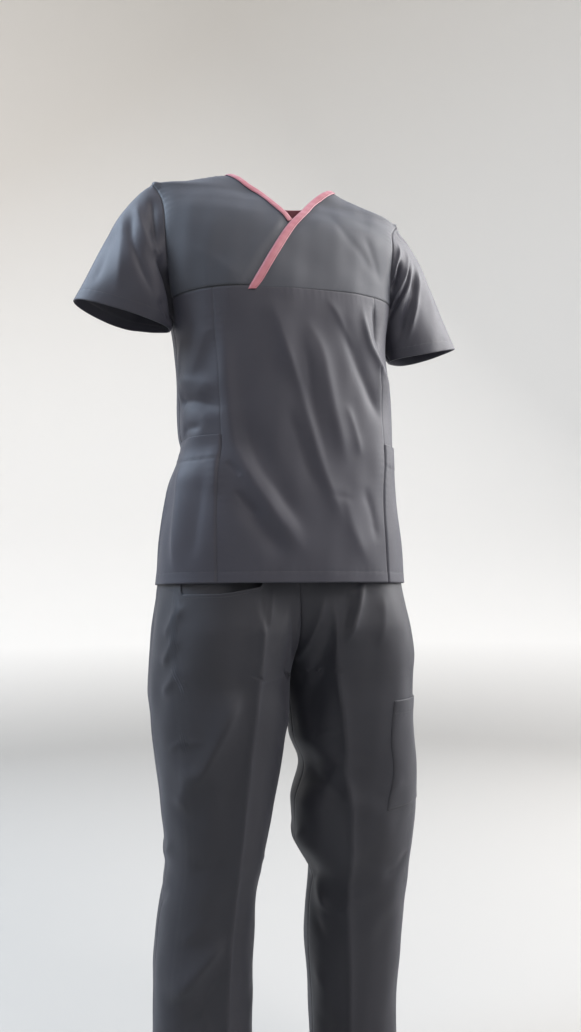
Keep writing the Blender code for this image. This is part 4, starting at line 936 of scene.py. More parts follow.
def yoke_place(side):
    def place(u, v):
        u, v = paired(u, v)
        flat = yoke_flat(side, u, v)
        top = yoke_flat(side, u, 0.0 * v)
        shift = side * torso_columns(top[..., 1])[0] - top[..., 0]
        x = flat[..., 0] + shift * (1.0 - v) ** 3
        points = torso_by_side(x, flat[..., 1])
        grid, normals = dressed_torso(points)
        if side < 0:
            grid = grid - normals * lap_sink(points)[..., None]
        return dress(grid, normals, TOP_CREASES, tip_bump(points))
    return place


def back_place():
    """Back panel; v runs from the neck and shoulders down to the hem."""
    crown = yoke_flat(1, np.linspace(0.0, 1.0, 41), np.zeros(41))[:, 1]
    under = UNDERARM_DROP / TOP_HEM

    def head(u):
        """Shoulder seams and the neck edge between them: sideways places and drops."""
        out = np.clip(1.0 - 3.0 * np.minimum(u, 1.0 - u), 0.0, 1.0)
        seam = np.interp(out, np.linspace(0.0, 1.0, 41), crown)
        edge = back_neck_edge(np.clip(3.0 * u - 1.0, 0.0, 1.0))
        on_seam = out > 0.0
        x = np.where(on_seam, np.where(u < 0.5, 1.0, -1.0) * torso_columns(seam)[0], edge[..., 0])
        return x, np.where(on_seam, seam, edge[..., 1])

    def place(u, v):
        u, v = paired(u, v)
        low_drop = UNDERARM_DROP + (TOP_HEM - UNDERARM_DROP) * np.clip(
            (v - under) / (1.0 - under), 0.0, 1.0)
        low = torso_by_turn(1.0 + 2.0 * u, low_drop)
        up = np.clip(1.0 - v / under, 0.0, 1.0)
        angles = np.pi + np.pi * up ** 0.9
        left, right = armhole(angles, 1), armhole(angles, -1)
        foot = torso_by_turn(1.0 + 2.0 * u, np.full(u.shape, UNDERARM_DROP))[..., 0]
        head_x, head_drop = head(u)
        corners = head(np.array((0.0, 1.0)))
        feet = torso_by_turn(np.array((1.0, 3.0)), UNDERARM_DROP)[..., 0]
        flat = []
        for base, top, start, end, base_ends, top_ends in (
                (foot, head_x, left[..., 0], right[..., 0], feet, corners[0]),
                (np.full(u.shape, UNDERARM_DROP), head_drop, -left[..., 2], -right[..., 2],
                 (UNDERARM_DROP, UNDERARM_DROP), corners[1])):
            plain = ((1 - up) * ((1 - u) * base_ends[0] + u * base_ends[1])
                     + up * ((1 - u) * top_ends[0] + u * top_ends[1]))
            flat.append(base + (top - base) * up + start + (end - start) * u - plain)
        high = torso_by_side(flat[0], flat[1], behind=True)
        points = np.where((v > under)[..., None], low, high)
        grid, normals = dressed_torso(points)
        return dress(grid, normals, TOP_CREASES, tip_bump(points))
    return place


def sleeve_form(side, turn, part):
    """Points of a sleeve: turn goes round it from the top over the front, part runs down it."""
    mirror = np.array((side, 1.0, 1.0))
    start = armhole(np.mod(turn, 2.0 * np.pi), side)
    lower = LEFT_SLEEVE_LOWER if side > 0 else 0.0
    centre = np.array(SLEEVE_HEM_CENTRE) * mirror - np.array((0.0, 0.0, lower))
    half = np.array(SLEEVE_HEM_HALF) * mirror
    turn, part = turn[..., None], part[..., None]
    sag = SLEEVE_BACK_DROP * ((1.0 - np.sin(turn)) / 2.0) ** 3
    end = (centre + half * np.cos(turn) + np.array(SLEEVE_HEM_AHEAD) * np.sin(turn)
           - sag * np.array((0.0, 0.0, 1.0)))
    chord = np.linalg.norm(end - start, axis=-1, keepdims=True)
    outward = (1.0 + np.cos(turn)) / 2.0
    axis = unit(np.array(SLEEVE_AXIS))
    leave = (np.array(SLEEVE_LEAVE[side]) * outward + axis * (1.0 - outward)) * mirror * chord
    arrive = axis * mirror * chord * SLEEVE_ARRIVE
    square, cube = part ** 2, part ** 3
    points = (start * (2 * cube - 3 * square + 1) + leave * (cube - 2 * square + part)
              + end * (3 * square - 2 * cube) + arrive * (cube - square))
    swell = SLEEVE_SWELL * np.sin(np.pi * part) * np.sin(turn)
    return points + swell * np.array((0.0, -1.0, 0.0))


def sleeve_place(side):
    """Sleeve; u runs round it from the seam under the arm, v down to its hem."""
    def place(u, v):
        u, v = paired(u, v)
        turn = 2.0 * np.pi * u + np.pi
        points = sleeve_form(side, turn, v)
        around = sleeve_form(side, turn + 0.02, v) - sleeve_form(side, turn - 0.02, v)
        lower, upper = np.minimum(v + 0.01, 1.0), np.maximum(v - 0.01, 0.0)
        along = sleeve_form(side, turn, lower) - sleeve_form(side, turn, upper)
        normals = unit(np.cross(around, along)) * side
        start = torso_normal(armhole(np.mod(turn, 2.0 * np.pi), side))
        share = ease(v / 0.10)[..., None]
        normals = unit(start * (1.0 - share) + normals * share)
        folded = folds_at(points, normals, SLEEVE_FOLDS, mirror=side)
        creased = creases_at(points, normals, SLEEVE_CREASES[side])
        away = ease(v / 0.05)
        joined = folds_at(points, normals, TOP_FOLDS) + creases_at(points, normals, TOP_CREASES)
        height = (folded + creased) * away + joined * (1.0 - ease(v / 0.08))
        height = height + ripple(points) + tip_bump(points)
        return points + normals * height[..., None], normals
    return place


def neck_band_place(side):
    """Binding down one front neck edge; u runs out from the edge, v down."""
    whole = yoke_place(side)
    last = 1.0 if side > 0 else (YOKE_ROWS - 5) / YOKE_ROWS

    def place(u, v):
        strip = whole(BAND_SHARE, v * last)[0] - whole(0.0, v * last)[0]
        share = BAND_WIDE / np.linalg.norm(strip, axis=-1)
        return whole(u * BAND_SHARE * share, v * last)
    return place


def back_band_place():
    """Binding round the back of the neck; u runs from the left shoulder, v away from the edge."""
    def place(u, v):
        u, v = paired(u, v)
        points = back_band(u, v * BAND)
        grid, normals = dressed_torso(points)
        return dress(grid, normals, TOP_CREASES)
    return place


# ------------------------------------------------------------------ places on the trousers
def dressed_trousers(share, drop, side, behind, extra=0.0):
    """Half a leg with its creases, which run out where the two legs are sewn together."""
    points, normals = dressed_leg(share, drop, side, behind)
    height = creases_at(points, normals, TROUSER_CREASES) + ripple(points)
    height = height + PRESSED_SHARE * crease_height(points, side, behind)
    joined = ease(share / 0.06 + ease((drop - CROTCH) / 0.02))
    return points + normals * (height * joined + extra)[..., None], normals


def leg_place(side, behind):
    """Half a leg; u runs from the seam between the legs to the outer seam."""
    def place(u, v):
        u, v = paired(u, v)
        top = WAIST_SEAM + 0.0 * u if behind else mouth_drop(u, side)
        drop = top + (TROUSER_HEM - top) * v
        gape = 0.0
        if not behind:
            gape = ease((u - 0.18) / 0.08) * ease((0.62 - u) / 0.26)
            gape = MOUTH_GAPE[side] * gape * np.exp(-(drop - top) / 0.018)
        return dressed_trousers(u, drop, side, behind, gape)
    return place


def bearer_place(side):
    def place(u, v):
        u, v = paired(u, v)
        drop = WAIST_SEAM + (BEARER_FOOT - WAIST_SEAM) * v
        share = BEARER_START + (BEARER_END - BEARER_START) * u
        return dressed_trousers(share, drop, side, False)
    return place


def cargo_place():
    """Thigh pocket; u runs over the outer seam of the left leg, from front to back."""
    def place(u, v):
        u, v = paired(u, v)
        start = CARGO_START + CARGO_LEAN * (0.25 * v + 0.75 * np.sin(0.5 * np.pi * v))
        turn = start + (CARGO_END - start) * u
        drop = CARGO_TOP + (CARGO_BOTTOM - CARGO_TOP) * v
        ahead = dressed_trousers(np.minimum(turn, 1.0), drop, 1, False)
        after = dressed_trousers(2.0 - np.maximum(turn, 1.0), drop, 1, True)
        front = (turn < 1.0)[..., None]
        return np.where(front, ahead[0], after[0]), np.where(front, ahead[1], after[1])
    return place


def waistband_place():
    """Band round the waist; u runs from the front seam over the left hip and back round."""
    def place(u, v):
        u, v = paired(u, v)
        quarter = np.minimum(np.floor(u * 4.0), 3.0)
        share = u * 4.0 - quarter
        share = np.where(np.mod(quarter, 2) == 1, 1.0 - share, share)
        drop = WAIST_TOP + (WAIST_SEAM - WAIST_TOP) * v
        points, normals = np.zeros(u.shape + (3,)), np.zeros(u.shape + (3,))
        for number, (side, behind) in enumerate(((1, False), (1, True), (-1, True), (-1, False))):
            found = dressed_trousers(share, drop, side, behind)
            here = (quarter == number)[..., None]
            points = np.where(here, found[0], points)
            normals = np.where(here, found[1], normals)
        gathers = GATHER_HEIGHT * np.sin(u * 2.0 * np.pi * GATHERS) * np.sin(np.pi * v)
        return points + normals * gathers[..., None], normals
    return place


# ------------------------------------------------------------------ the shell of a piece
def put_in_scene(name, data):
    made = bpy.data.objects.new(name, data)
    bpy.context.scene.collection.objects.link(made)
    return made


def line_length(points):
    return np.linalg.norm(np.diff(points, axis=0), axis=-1).sum()


SHADE_WIDTH = 0.0013       # half width of the painted shade line in the groove of a seam


class Cloth:
    """One piece of cloth, as the grid of its outer face."""

    def __init__(self, name, place, step, across=(0.0, 1.0), seams=None, hem=None,
                 hem_depth=0.0, lift=0.0, profile=None):
        self.name = name
        seams = seams or {}
        shares = np.linspace(0.0, 1.0, 41)
        middle = np.full(41, 0.5)
        width = line_length(place(shares, middle)[0])
        length = line_length(place(middle, shares)[0])
        low, high = across
        left, right, top, bottom = [
            hem_stops(hem_depth) if edge == hem else SEAM_STOPS if edge in seams else EDGE_STOPS
            for edge in ("left", "right", "top", "bottom")]
        columns = low + (high - low) * spread(width * (high - low), step, left, right)
        u, v = np.meshgrid(columns, spread(length, step, top, bottom))
        points, self.normals = place(u, v)
        self.measure(points)
        height = lift + edge_height(self.away, self.run, seams, hem, hem_depth)
        if profile is not None:
            height = height + profile(u, v, self.away, self.run)
        self.points = points + self.normals * height[..., None]
        self.inside = np.full(u.shape, CLOTH_THICK)
        if hem:
            self.inside += HEM_EXTRA * ease((hem_depth - self.away[hem]) / DENT_WIDTH + 0.5)
        # Painted shade: the colour is darkened along each sewn edge, by its kind of seam, standing
        # in for the shade in its groove.
        self.shade = np.zeros(u.shape)
        for edge, kind in seams.items():
            dark = SEAMS[kind][1] * np.exp(-(self.away[edge] / SHADE_WIDTH) ** 2)
            self.shade = np.maximum(self.shade, dark)

    def measure(self, points):
        """How far each point is from each edge of the piece, along the cloth."""
        across = np.zeros(points.shape[:2])
        down = np.zeros(points.shape[:2])
        across[:, 1:] = np.cumsum(np.linalg.norm(np.diff(points, axis=1), axis=-1), axis=1)
        down[1:] = np.cumsum(np.linalg.norm(np.diff(points, axis=0), axis=-1), axis=0)
        self.away = {"left": across, "right": across[:, -1:] - across,
                     "top": down, "bottom": down[-1:] - down}
        self.run = {"left": down, "right": down, "top": across, "bottom": across}

    def line(self, edge, gap):
        """Points and directions of stitches that keep a gap from one edge of the piece."""
        upright = edge in ("top", "bottom")
        away = self.away[edge] if upright else self.away[edge].T
        points = self.points if upright else self.points.swapaxes(0, 1)
        normals = self.normals if upright else self.normals.swapaxes(0, 1)
        if edge in ("bottom", "right"):
            away, points, normals = away[::-1], points[::-1], normals[::-1]
        count = away.shape[1]
        index = np.clip((away < gap).sum(axis=0), 1, len(away) - 1)
        place = np.arange(count)
        low, high = away[index - 1, place], away[index, place]
        part = ((gap - low) / np.maximum(high - low, 1e-9))[:, None]
        found = points[index - 1, place] * (1 - part) + points[index, place] * part
        facing = unit(normals[index - 1, place] * (1 - part) + normals[index, place] * part)
        steps = np.concatenate(((0.0,), np.cumsum(np.linalg.norm(np.diff(found, axis=0), axis=1))))
        wanted = np.linspace(0.0, 1.0, max(count, 2)) * steps[-1]
        found = np.stack([np.interp(wanted, steps, found[:, axis]) for axis in range(3)], axis=-1)
        facing = unit(np.stack([np.interp(wanted, steps, facing[:, axis]) for axis in range(3)],
                               axis=-1))
        return found + facing * STITCH_RISE, facing

    def make(self, finish):
        """The piece as a closed mesh with rounded rims and a UV map in metres."""
        rows, columns = self.points.shape[:2]
        inner = self.points - self.normals * self.inside[..., None]
        rim = [(0, place) for place in range(columns)]
        rim += [(row, columns - 1) for row in range(1, rows)]
        rim += [(rows - 1, place) for place in range(columns - 2, -1, -1)]
        rim += [(row, 0) for row in range(rows - 2, 0, -1)]
        rim_rows = np.array([row for row, place in rim])
        rim_columns = np.array([place for row, place in rim])
        back_rows = np.clip(rim_rows, 1, rows - 2)
        back_columns = np.clip(rim_columns, 1, columns - 2)
        out = unit(self.points[rim_rows, rim_columns] - self.points[back_rows, back_columns])
        half = self.inside[rim_rows, rim_columns][:, None]
        facing = self.normals[rim_rows, rim_columns]
        middle = self.points[rim_rows, rim_columns] - facing * half / 2 + out * half * RIM_ROUND
        count = rows * columns
        numbers = np.arange(count).reshape(rows, columns)
        a, b = numbers[:-1, :-1], numbers[:-1, 1:]
        c, d = numbers[1:, 1:], numbers[1:, :-1]
        quads = np.stack((a, b, c, d), axis=-1).reshape(-1, 4)
        under = quads[:, ::-1] + count
        outer_ring = numbers[rim_rows, rim_columns]
        middle_ring = 2 * count + np.arange(len(rim))
        inner_ring = outer_ring + count
        upper = np.stack((outer_ring, middle_ring, np.roll(middle_ring, -1),
                          np.roll(outer_ring, -1)), axis=-1)
        lower = np.stack((middle_ring, inner_ring, np.roll(inner_ring, -1),
                          np.roll(middle_ring, -1)), axis=-1)
        faces = np.concatenate((quads, under, upper, lower))
        corner = self.points[0, 0]
        turned = np.cross(self.points[0, 1] - corner, self.points[1, 1] - corner)
        if np.dot(turned, self.normals[0, 0]) < 0.0:
            faces = faces[:, ::-1]
        points = np.concatenate((self.points.reshape(-1, 3), inner.reshape(-1, 3), middle))
        across = self.away["left"] - self.away["left"][:, -1:] / 2.0
        flat = np.stack((across, self.away["top"]), axis=-1)
        maps = np.concatenate((flat.reshape(-1, 2), flat.reshape(-1, 2),
                               flat[rim_rows, rim_columns]))
        shade = np.concatenate((self.shade.ravel(), np.zeros(count),
                                self.shade[rim_rows, rim_columns]))
        mesh = bpy.data.meshes.new(self.name)
        mesh.vertices.add(len(points))
        mesh.vertices.foreach_set("co", points.ravel())
        mesh.loops.add(faces.size)
        mesh.loops.foreach_set("vertex_index", faces.ravel())
        mesh.polygons.add(len(faces))
        mesh.polygons.foreach_set("loop_start", np.arange(0, faces.size, 4))
        mesh.update(calc_edges=True)
        mesh.validate()
        mesh.uv_layers.new(name="Cloth")
        mesh.uv_layers["Cloth"].data.foreach_set("uv", maps[faces.ravel()].ravel())
        mesh.attributes.new("seam_shade", "FLOAT", "POINT")
        mesh.attributes["seam_shade"].data.foreach_set("value", shade)
        mesh.shade_smooth()
        mesh.materials.append(finish)
        return put_in_scene(self.name, mesh)


# ------------------------------------------------------------------ finishes
FLOOR_LEVEL = -1.56
PAPER_FADE = 0.5           # height over which the backdrop turns from floor to wall
FLOOR_SHARE = 0.52         # how pale the floor is painted next to the wall: painted shade against its stronger lamp light


def node_group(name, inputs, outputs):
    """An empty shader group with its sockets, and its input and output nodes."""
    group = bpy.data.node_groups.new(name, "ShaderNodeTree")
    for socket, kind, value in inputs:
        made = group.interface.new_socket(name=socket, in_out="INPUT", socket_type=kind)
        if value is not None:
            made.default_value = value
    for socket, kind in outputs:
        group.interface.new_socket(name=socket, in_out="OUTPUT", socket_type=kind)
    return group, group.nodes.new("NodeGroupInput"), group.nodes.new("NodeGroupOutput")


def set_inputs(node, **values):
    """Sets the inputs of a node by name, with _ for the spaces in a name."""
    for name, value in values.items():
        node.inputs[name.replace("_", " ")].default_value = value


def calculate(tree, operation, *values):
    """A Math node; each value is a number or a socket."""
    node = tree.nodes.new("ShaderNodeMath")
    node.operation = operation
    for number, value in enumerate(values):
        if isinstance(value, (int, float)):
            node.inputs[number].default_value = value
        else:
            tree.links.new(value, node.inputs[number])
    return node.outputs[0]


def noise_of(tree, vector, scale, detail=3.0, roughness=0.55):
    node = tree.nodes.new("ShaderNodeTexNoise")
    set_inputs(node, Scale=scale, Detail=detail, Roughness=roughness)
    tree.links.new(vector, node.inputs["Vector"])
    return node.outputs[0]


def twill_weave():
    """Diagonal ridges of a fine twill, as a normal and a mask of its raised threads."""
    group, start, end = node_group(
        "Twill weave",
        (("Flat place", "NodeSocketVector", None), ("Thread pitch", "NodeSocketFloat", 0.0008),
         ("Depth", "NodeSocketFloat", 0.0001)),
        (("Ridges", "NodeSocketFloat"), ("Normal", "NodeSocketVector")))
    split = group.nodes.new("ShaderNodeSeparateXYZ")
    group.links.new(start.outputs["Flat place"], split.inputs[0])
    warp = calculate(group, "DIVIDE", split.outputs[0], start.outputs["Thread pitch"])
    weft = calculate(group, "DIVIDE", split.outputs[1], start.outputs["Thread pitch"])
    diagonal = calculate(group, "ADD", warp, weft)
    ridge = calculate(group, "SINE", calculate(group, "MULTIPLY", diagonal, np.pi))
    thread = calculate(group, "SINE", calculate(group, "MULTIPLY", warp, 2.0 * np.pi))
    mixed = calculate(group, "ADD", ridge, calculate(group, "MULTIPLY", thread, 0.45))
    slub = noise_of(group, start.outputs["Flat place"], 900.0, 2.0)
    mixed = calculate(group, "ADD", mixed, calculate(group, "MULTIPLY", slub, 1.2))
    level = calculate(group, "MULTIPLY", mixed, 0.5)
    bump = group.nodes.new("ShaderNodeBump")
    set_inputs(bump, Strength=0.55)
    group.links.new(start.outputs["Depth"], bump.inputs["Distance"])
    group.links.new(level, bump.inputs["Height"])
    group.links.new(level, end.inputs["Ridges"])
    group.links.new(bump.outputs[0], end.inputs["Normal"])
    return group


def cloth_tone():
    """Colour of dyed cloth: cloudy patches, pale flecks, painted highlight on raised threads,
    painted seam shade.
    """
    group, start, end = node_group(
        "Cloth tone",
        (("Place", "NodeSocketVector", None), ("Dye", "NodeSocketColor", (0.1, 0.1, 0.1, 1.0)),
         ("Pale thread", "NodeSocketColor", (0.2, 0.2, 0.2, 1.0)),
         ("Ridges", "NodeSocketFloat", 0.0), ("Seam shade", "NodeSocketFloat", 0.0)),
        (("Colour", "NodeSocketColor"),))
    cloud = noise_of(group, start.outputs["Place"], 14.0, 4.0)
    fleck = noise_of(group, start.outputs["Place"], 620.0, 2.0, 0.7)
    # Raised threads are painted paler, a painted highlight; the clouds and flecks are the cloth's
    # own uneven tone.
    share = calculate(group, "MULTIPLY", start.outputs["Ridges"], 0.16)
    share = calculate(group, "ADD", share, calculate(group, "MULTIPLY", cloud, 0.30))
    share = calculate(group, "ADD", share, calculate(group, "MULTIPLY", fleck, 0.30))
    mix = group.nodes.new("ShaderNodeMix")
    mix.data_type = "RGBA"
    mix.clamp_factor = True
    group.links.new(share, mix.inputs["Factor"])
    group.links.new(start.outputs["Dye"], mix.inputs[6])
    group.links.new(start.outputs["Pale thread"], mix.inputs[7])
    # Painted shade along the seams darkens the colour.
    light = calculate(group, "SUBTRACT", 1.0, start.outputs["Seam shade"])
    shaded = group.nodes.new("ShaderNodeVectorMath")
    shaded.operation = "SCALE"
    group.links.new(mix.outputs[2], shaded.inputs[0])
    group.links.new(light, shaded.inputs["Scale"])
    group.links.new(shaded.outputs[0], end.inputs["Colour"])
    return group


def shared_group(name, build):
    return bpy.data.node_groups.get(name) or build()


def new_finish(name):
    """A new material, with its nodes and its Principled shader."""
    made = bpy.data.materials.new(name)
    made.use_nodes = True
    return made, made.node_tree, made.node_tree.nodes["Principled BSDF"]


def cloth_finish(name, dye, pale, roughness, sheen, pitch=0.0008, depth=0.00010):
    """A dyed woven cloth whose weave follows the piece's own UV map."""
    found = bpy.data.materials.get(name)
    if found:
        return found
    made, tree, surface = new_finish(name)
    set_inputs(surface, Roughness=roughness, Specular_IOR_Level=0.36, Sheen_Weight=sheen,
               Sheen_Roughness=0.45, Sheen_Tint=(0.80, 0.82, 0.95, 1.0))
    flat = tree.nodes.new("ShaderNodeUVMap")
    flat.uv_map = "Cloth"
    weave = tree.nodes.new("ShaderNodeGroup")
    weave.node_tree = shared_group("Twill weave", twill_weave)
    set_inputs(weave, Thread_pitch=pitch, Depth=depth)
    tree.links.new(flat.outputs[0], weave.inputs["Flat place"])
    place = tree.nodes.new("ShaderNodeTexCoord")
    # The painted seam shade that each piece carries darkens its colour.
    edge = tree.nodes.new("ShaderNodeAttribute")
    edge.attribute_name = "seam_shade"
    tone = tree.nodes.new("ShaderNodeGroup")
    tone.node_tree = shared_group("Cloth tone", cloth_tone)
    set_inputs(tone, Dye=(*dye, 1.0), Pale_thread=(*pale, 1.0))
    tree.links.new(place.outputs["Object"], tone.inputs["Place"])
    tree.links.new(weave.outputs["Ridges"], tone.inputs["Ridges"])
    tree.links.new(edge.outputs["Fac"], tone.inputs["Seam shade"])
    tree.links.new(tone.outputs["Colour"], surface.inputs["Base Color"])
    tree.links.new(weave.outputs["Normal"], surface.inputs["Normal"])
    return made


def paler(colour, times):
    return tuple(min(channel * times, 1.0) for channel in colour)


def finish_for(kind):
    """The material of a kind of piece, with the colours set in the panel."""
    colours = bpy.context.scene.scrubs_colours
    dye = tuple(getattr(colours, kind))
    # The paler colour tints random clouds and flecks, and paints a highlight on the raised threads.
    if kind == "binding":
        return cloth_finish("Rose sateen binding", dye, paler(dye, 1.5), 0.42, 0.15,
                            pitch=0.0005, depth=0.00004)
    if kind == "thread":
        return thread_finish(dye)
    names = {"yoke": "Slate twill", "top": "Charcoal twill", "trousers": "Charcoal twill, worn"}
    return cloth_finish(names[kind], dye, paler(dye, 2.1), 0.56, 0.12)


def thread_finish(dye):
    """Twisted sewing thread."""
    found = bpy.data.materials.get("Sewing thread")
    if found:
        return found
    made, tree, surface = new_finish("Sewing thread")
    set_inputs(surface, Roughness=0.45, Sheen_Weight=0.2)
    place = tree.nodes.new("ShaderNodeTexCoord")
    ramp = tree.nodes.new("ShaderNodeValToRGB")
    ramp.color_ramp.elements[0].color = (*dye, 1.0)
    ramp.color_ramp.elements[1].color = (*paler(dye, 1.9), 1.0)
    tree.links.new(noise_of(tree, place.outputs["Object"], 700.0), ramp.inputs[0])
    tree.links.new(ramp.outputs[0], surface.inputs["Base Color"])
    return made


def paper_finish(colour):
    """Matt paper, painted darker low down than on the wall: a painted shade that evens out the
    stronger lamp light on the floor.
    """
    made, tree, surface = new_finish("Pale paper")
    set_inputs(surface, Roughness=0.9)
    place = tree.nodes.new("ShaderNodeTexCoord")
    split = tree.nodes.new("ShaderNodeSeparateXYZ")
    tree.links.new(place.outputs["Object"], split.inputs[0])
    height = calculate(tree, "DIVIDE", calculate(tree, "SUBTRACT", split.outputs[2], FLOOR_LEVEL),
                       PAPER_FADE)
    ramp = tree.nodes.new("ShaderNodeValToRGB")
    ramp.color_ramp.elements[0].color = (*paler(colour, FLOOR_SHARE), 1.0)
    ramp.color_ramp.elements[1].color = (*colour, 1.0)
    tree.links.new(height, ramp.inputs[0])
    tree.links.new(ramp.outputs[0], surface.inputs["Base Color"])
    return made


# ------------------------------------------------------------------ stitches
def stitch_tree():
    """Lays one thread stitch after another along the edges of a mesh."""
    tree = bpy.data.node_groups.new("Stitch row", "GeometryNodeTree")
    tree.interface.new_socket(name="Rows", in_out="INPUT", socket_type="NodeSocketGeometry")
    for name, value in (("Pitch", 0.0032), ("Length", 0.0024), ("Width", 0.0006),
                        ("Height", 0.0005)):
        socket = tree.interface.new_socket(name=name, in_out="INPUT",
                                           socket_type="NodeSocketFloat")
        socket.default_value = value
    tree.interface.new_socket(name="Thread", in_out="INPUT", socket_type="NodeSocketMaterial")
    tree.interface.new_socket(name="Stitches", in_out="OUTPUT",
                              socket_type="NodeSocketGeometry")
    start = tree.nodes.new("NodeGroupInput")
    end = tree.nodes.new("NodeGroupOutput")
    curve = tree.nodes.new("GeometryNodeMeshToCurve")
    tree.links.new(start.outputs["Rows"], curve.inputs["Mesh"])
    steps = tree.nodes.new("GeometryNodeResampleCurve")
    steps.mode = "LENGTH"
    tree.links.new(curve.outputs[0], steps.inputs["Curve"])
    tree.links.new(start.outputs["Pitch"], steps.inputs["Length"])
    facing = tree.nodes.new("GeometryNodeInputNamedAttribute")
    facing.data_type = "FLOAT_VECTOR"
    facing.inputs["Name"].default_value = "facing"
    along = tree.nodes.new("GeometryNodeInputTangent")
    first = tree.nodes.new("FunctionNodeAlignRotationToVector")
    first.axis = "X"
    tree.links.new(along.outputs[0], first.inputs["Vector"])
    second = tree.nodes.new("FunctionNodeAlignRotationToVector")
    second.axis = "Z"
    second.pivot_axis = "X"
    tree.links.new(first.outputs[0], second.inputs["Rotation"])
    tree.links.new(facing.outputs["Attribute"], second.inputs["Vector"])
    bead = tree.nodes.new("GeometryNodeMeshUVSphere")
    set_inputs(bead, Segments=6, Rings=5, Radius=0.5)
    size = tree.nodes.new("ShaderNodeCombineXYZ")
    for number, name in enumerate(("Length", "Width", "Height")):
        tree.links.new(start.outputs[name], size.inputs[number])
    place = tree.nodes.new("GeometryNodeInstanceOnPoints")
    tree.links.new(steps.outputs[0], place.inputs["Points"])
    tree.links.new(bead.outputs["Mesh"], place.inputs["Instance"])
    tree.links.new(second.outputs[0], place.inputs["Rotation"])
    tree.links.new(size.outputs[0], place.inputs["Scale"])
    real = tree.nodes.new("GeometryNodeRealizeInstances")
    tree.links.new(place.outputs[0], real.inputs[0])
    smooth_shade = tree.nodes.new("GeometryNodeSetShadeSmooth")
    tree.links.new(real.outputs[0], smooth_shade.inputs[0])
    paint = tree.nodes.new("GeometryNodeSetMaterial")
    tree.links.new(smooth_shade.outputs[0], paint.inputs["Geometry"])
    tree.links.new(start.outputs["Thread"], paint.inputs["Material"])
    tree.links.new(paint.outputs[0], end.inputs[0])
    return tree


def sew(name, rows, pitch, length, width, height):
    """Stitches along each row of (points, directions), as one plain mesh."""
    points = np.concatenate([row[0] for row in rows])
    facing = np.concatenate([row[1] for row in rows])
    edges, start = [], 0
    for row in rows:
        count = len(row[0])
        edges += [(start + step, start + step + 1) for step in range(count - 1)]
        start += count
    mesh = bpy.data.meshes.new(name + "_rows")
    mesh.from_pydata(points.tolist(), edges, [])
    mesh.attributes.new("facing", "FLOAT_VECTOR", "POINT")
    mesh.attributes["facing"].data.foreach_set("vector", facing.ravel())
    guide = put_in_scene(name + "_rows", mesh)
    layer = guide.modifiers.new("Stitches", "NODES")
    layer.node_group = bpy.data.node_groups.get("Stitch row") or stitch_tree()
    sockets = {item.name: item.identifier for item in layer.node_group.interface.items_tree
               if item.item_type == "SOCKET" and item.in_out == "INPUT"}
    for socket, value in (("Pitch", pitch), ("Length", length), ("Width", width),
                          ("Height", height), ("Thread", finish_for("thread"))):
        layer[sockets[socket]] = value
    bpy.context.view_layer.update()
    graph = bpy.context.evaluated_depsgraph_get()
    made = bpy.data.meshes.new_from_object(guide.evaluated_get(graph))
    made.name = name
    bpy.data.objects.remove(guide, do_unlink=True)
    return put_in_scene(name, made)


# ------------------------------------------------------------------ pieces
WORDS = {-1: "right", 1: "left"}
CLOTH_THICK = 0.0012
HEM_EXTRA = 0.0010         # the turned-up cloth inside a hem
EDGE_STOPS = (0.0010,)
RIM_ROUND = 0.45           # how far a rim bulges, as a share of the thickness
TOP_HEM_DEPTH = 0.0160
SLEEVE_HEM_DEPTH = 0.0180
TROUSER_HEM_DEPTH = 0.0250
MOUTH_HEM_DEPTH = 0.0200
SIDE_MOUTH_DEPTH = MOUTH_HEM_DEPTH * 1.9
POCKET_LIFT = 0.0015
PATCH_EDGE = 0.0022        # how far in from its sewn edges a patch is pressed down
BAND_WIDE = 0.0125         # width of the front neck bindings
BAND_ROLL = 0.0010         # how far the binding stands past the edge that it covers
BAND_TURN = 0.0030         # how far inside the outer half of the binding its inner half lies
BAND_FOLD = 0.0028         # how much thicker the binding is at its folded edge
BAND_STEP = 0.7            # squares of the binding, as a share of the mesh step
BEARER_LIFT = -0.0017      # how far the panel behind a hip pocket lies in at its outer end
BEARER_DEEP = 0.0095       # how much deeper it lies where the mouth stands open
STITCH_RISE = 0.0001
# Rows of stitches: piece, edge, distance from that edge
TOP_STITCHES = (
    ("front_panel", "bottom", TOP_HEM_DEPTH),
    ("side_pocket_right", "bottom", TOP_HEM_DEPTH),
    ("side_pocket_left", "bottom", TOP_HEM_DEPTH),
    ("back_panel", "bottom", TOP_HEM_DEPTH),
    ("sleeve_right", "bottom", SLEEVE_HEM_DEPTH),
    ("sleeve_left", "bottom", SLEEVE_HEM_DEPTH),
    ("side_pocket_right", "top", SIDE_MOUTH_DEPTH),
    ("side_pocket_left", "top", SIDE_MOUTH_DEPTH),
    ("yoke_front_left", "bottom", 0.0025), ("yoke_front_right", "bottom", 0.0025),
    ("neck_band_left", "right", 0.0016), ("neck_band_right", "right", 0.0016),
    ("neck_band_back", "right", 0.0016),
)
TROUSER_STITCHES = (
    ("leg_front_right", "bottom", TROUSER_HEM_DEPTH),
    ("leg_front_left", "bottom", TROUSER_HEM_DEPTH),
    ("leg_back_right", "bottom", TROUSER_HEM_DEPTH),
    ("leg_back_left", "bottom", TROUSER_HEM_DEPTH),
    ("cargo_pocket", "top", MOUTH_HEM_DEPTH),
    ("cargo_pocket", "left", 0.0030), ("cargo_pocket", "right", 0.0030),
    ("cargo_pocket", "bottom", 0.0030),
    ("leg_front_right", "top", 0.0050), ("leg_front_left", "top", 0.0050),
)

BUILT = {}                 # pieces of cloth by name, kept for their stitches


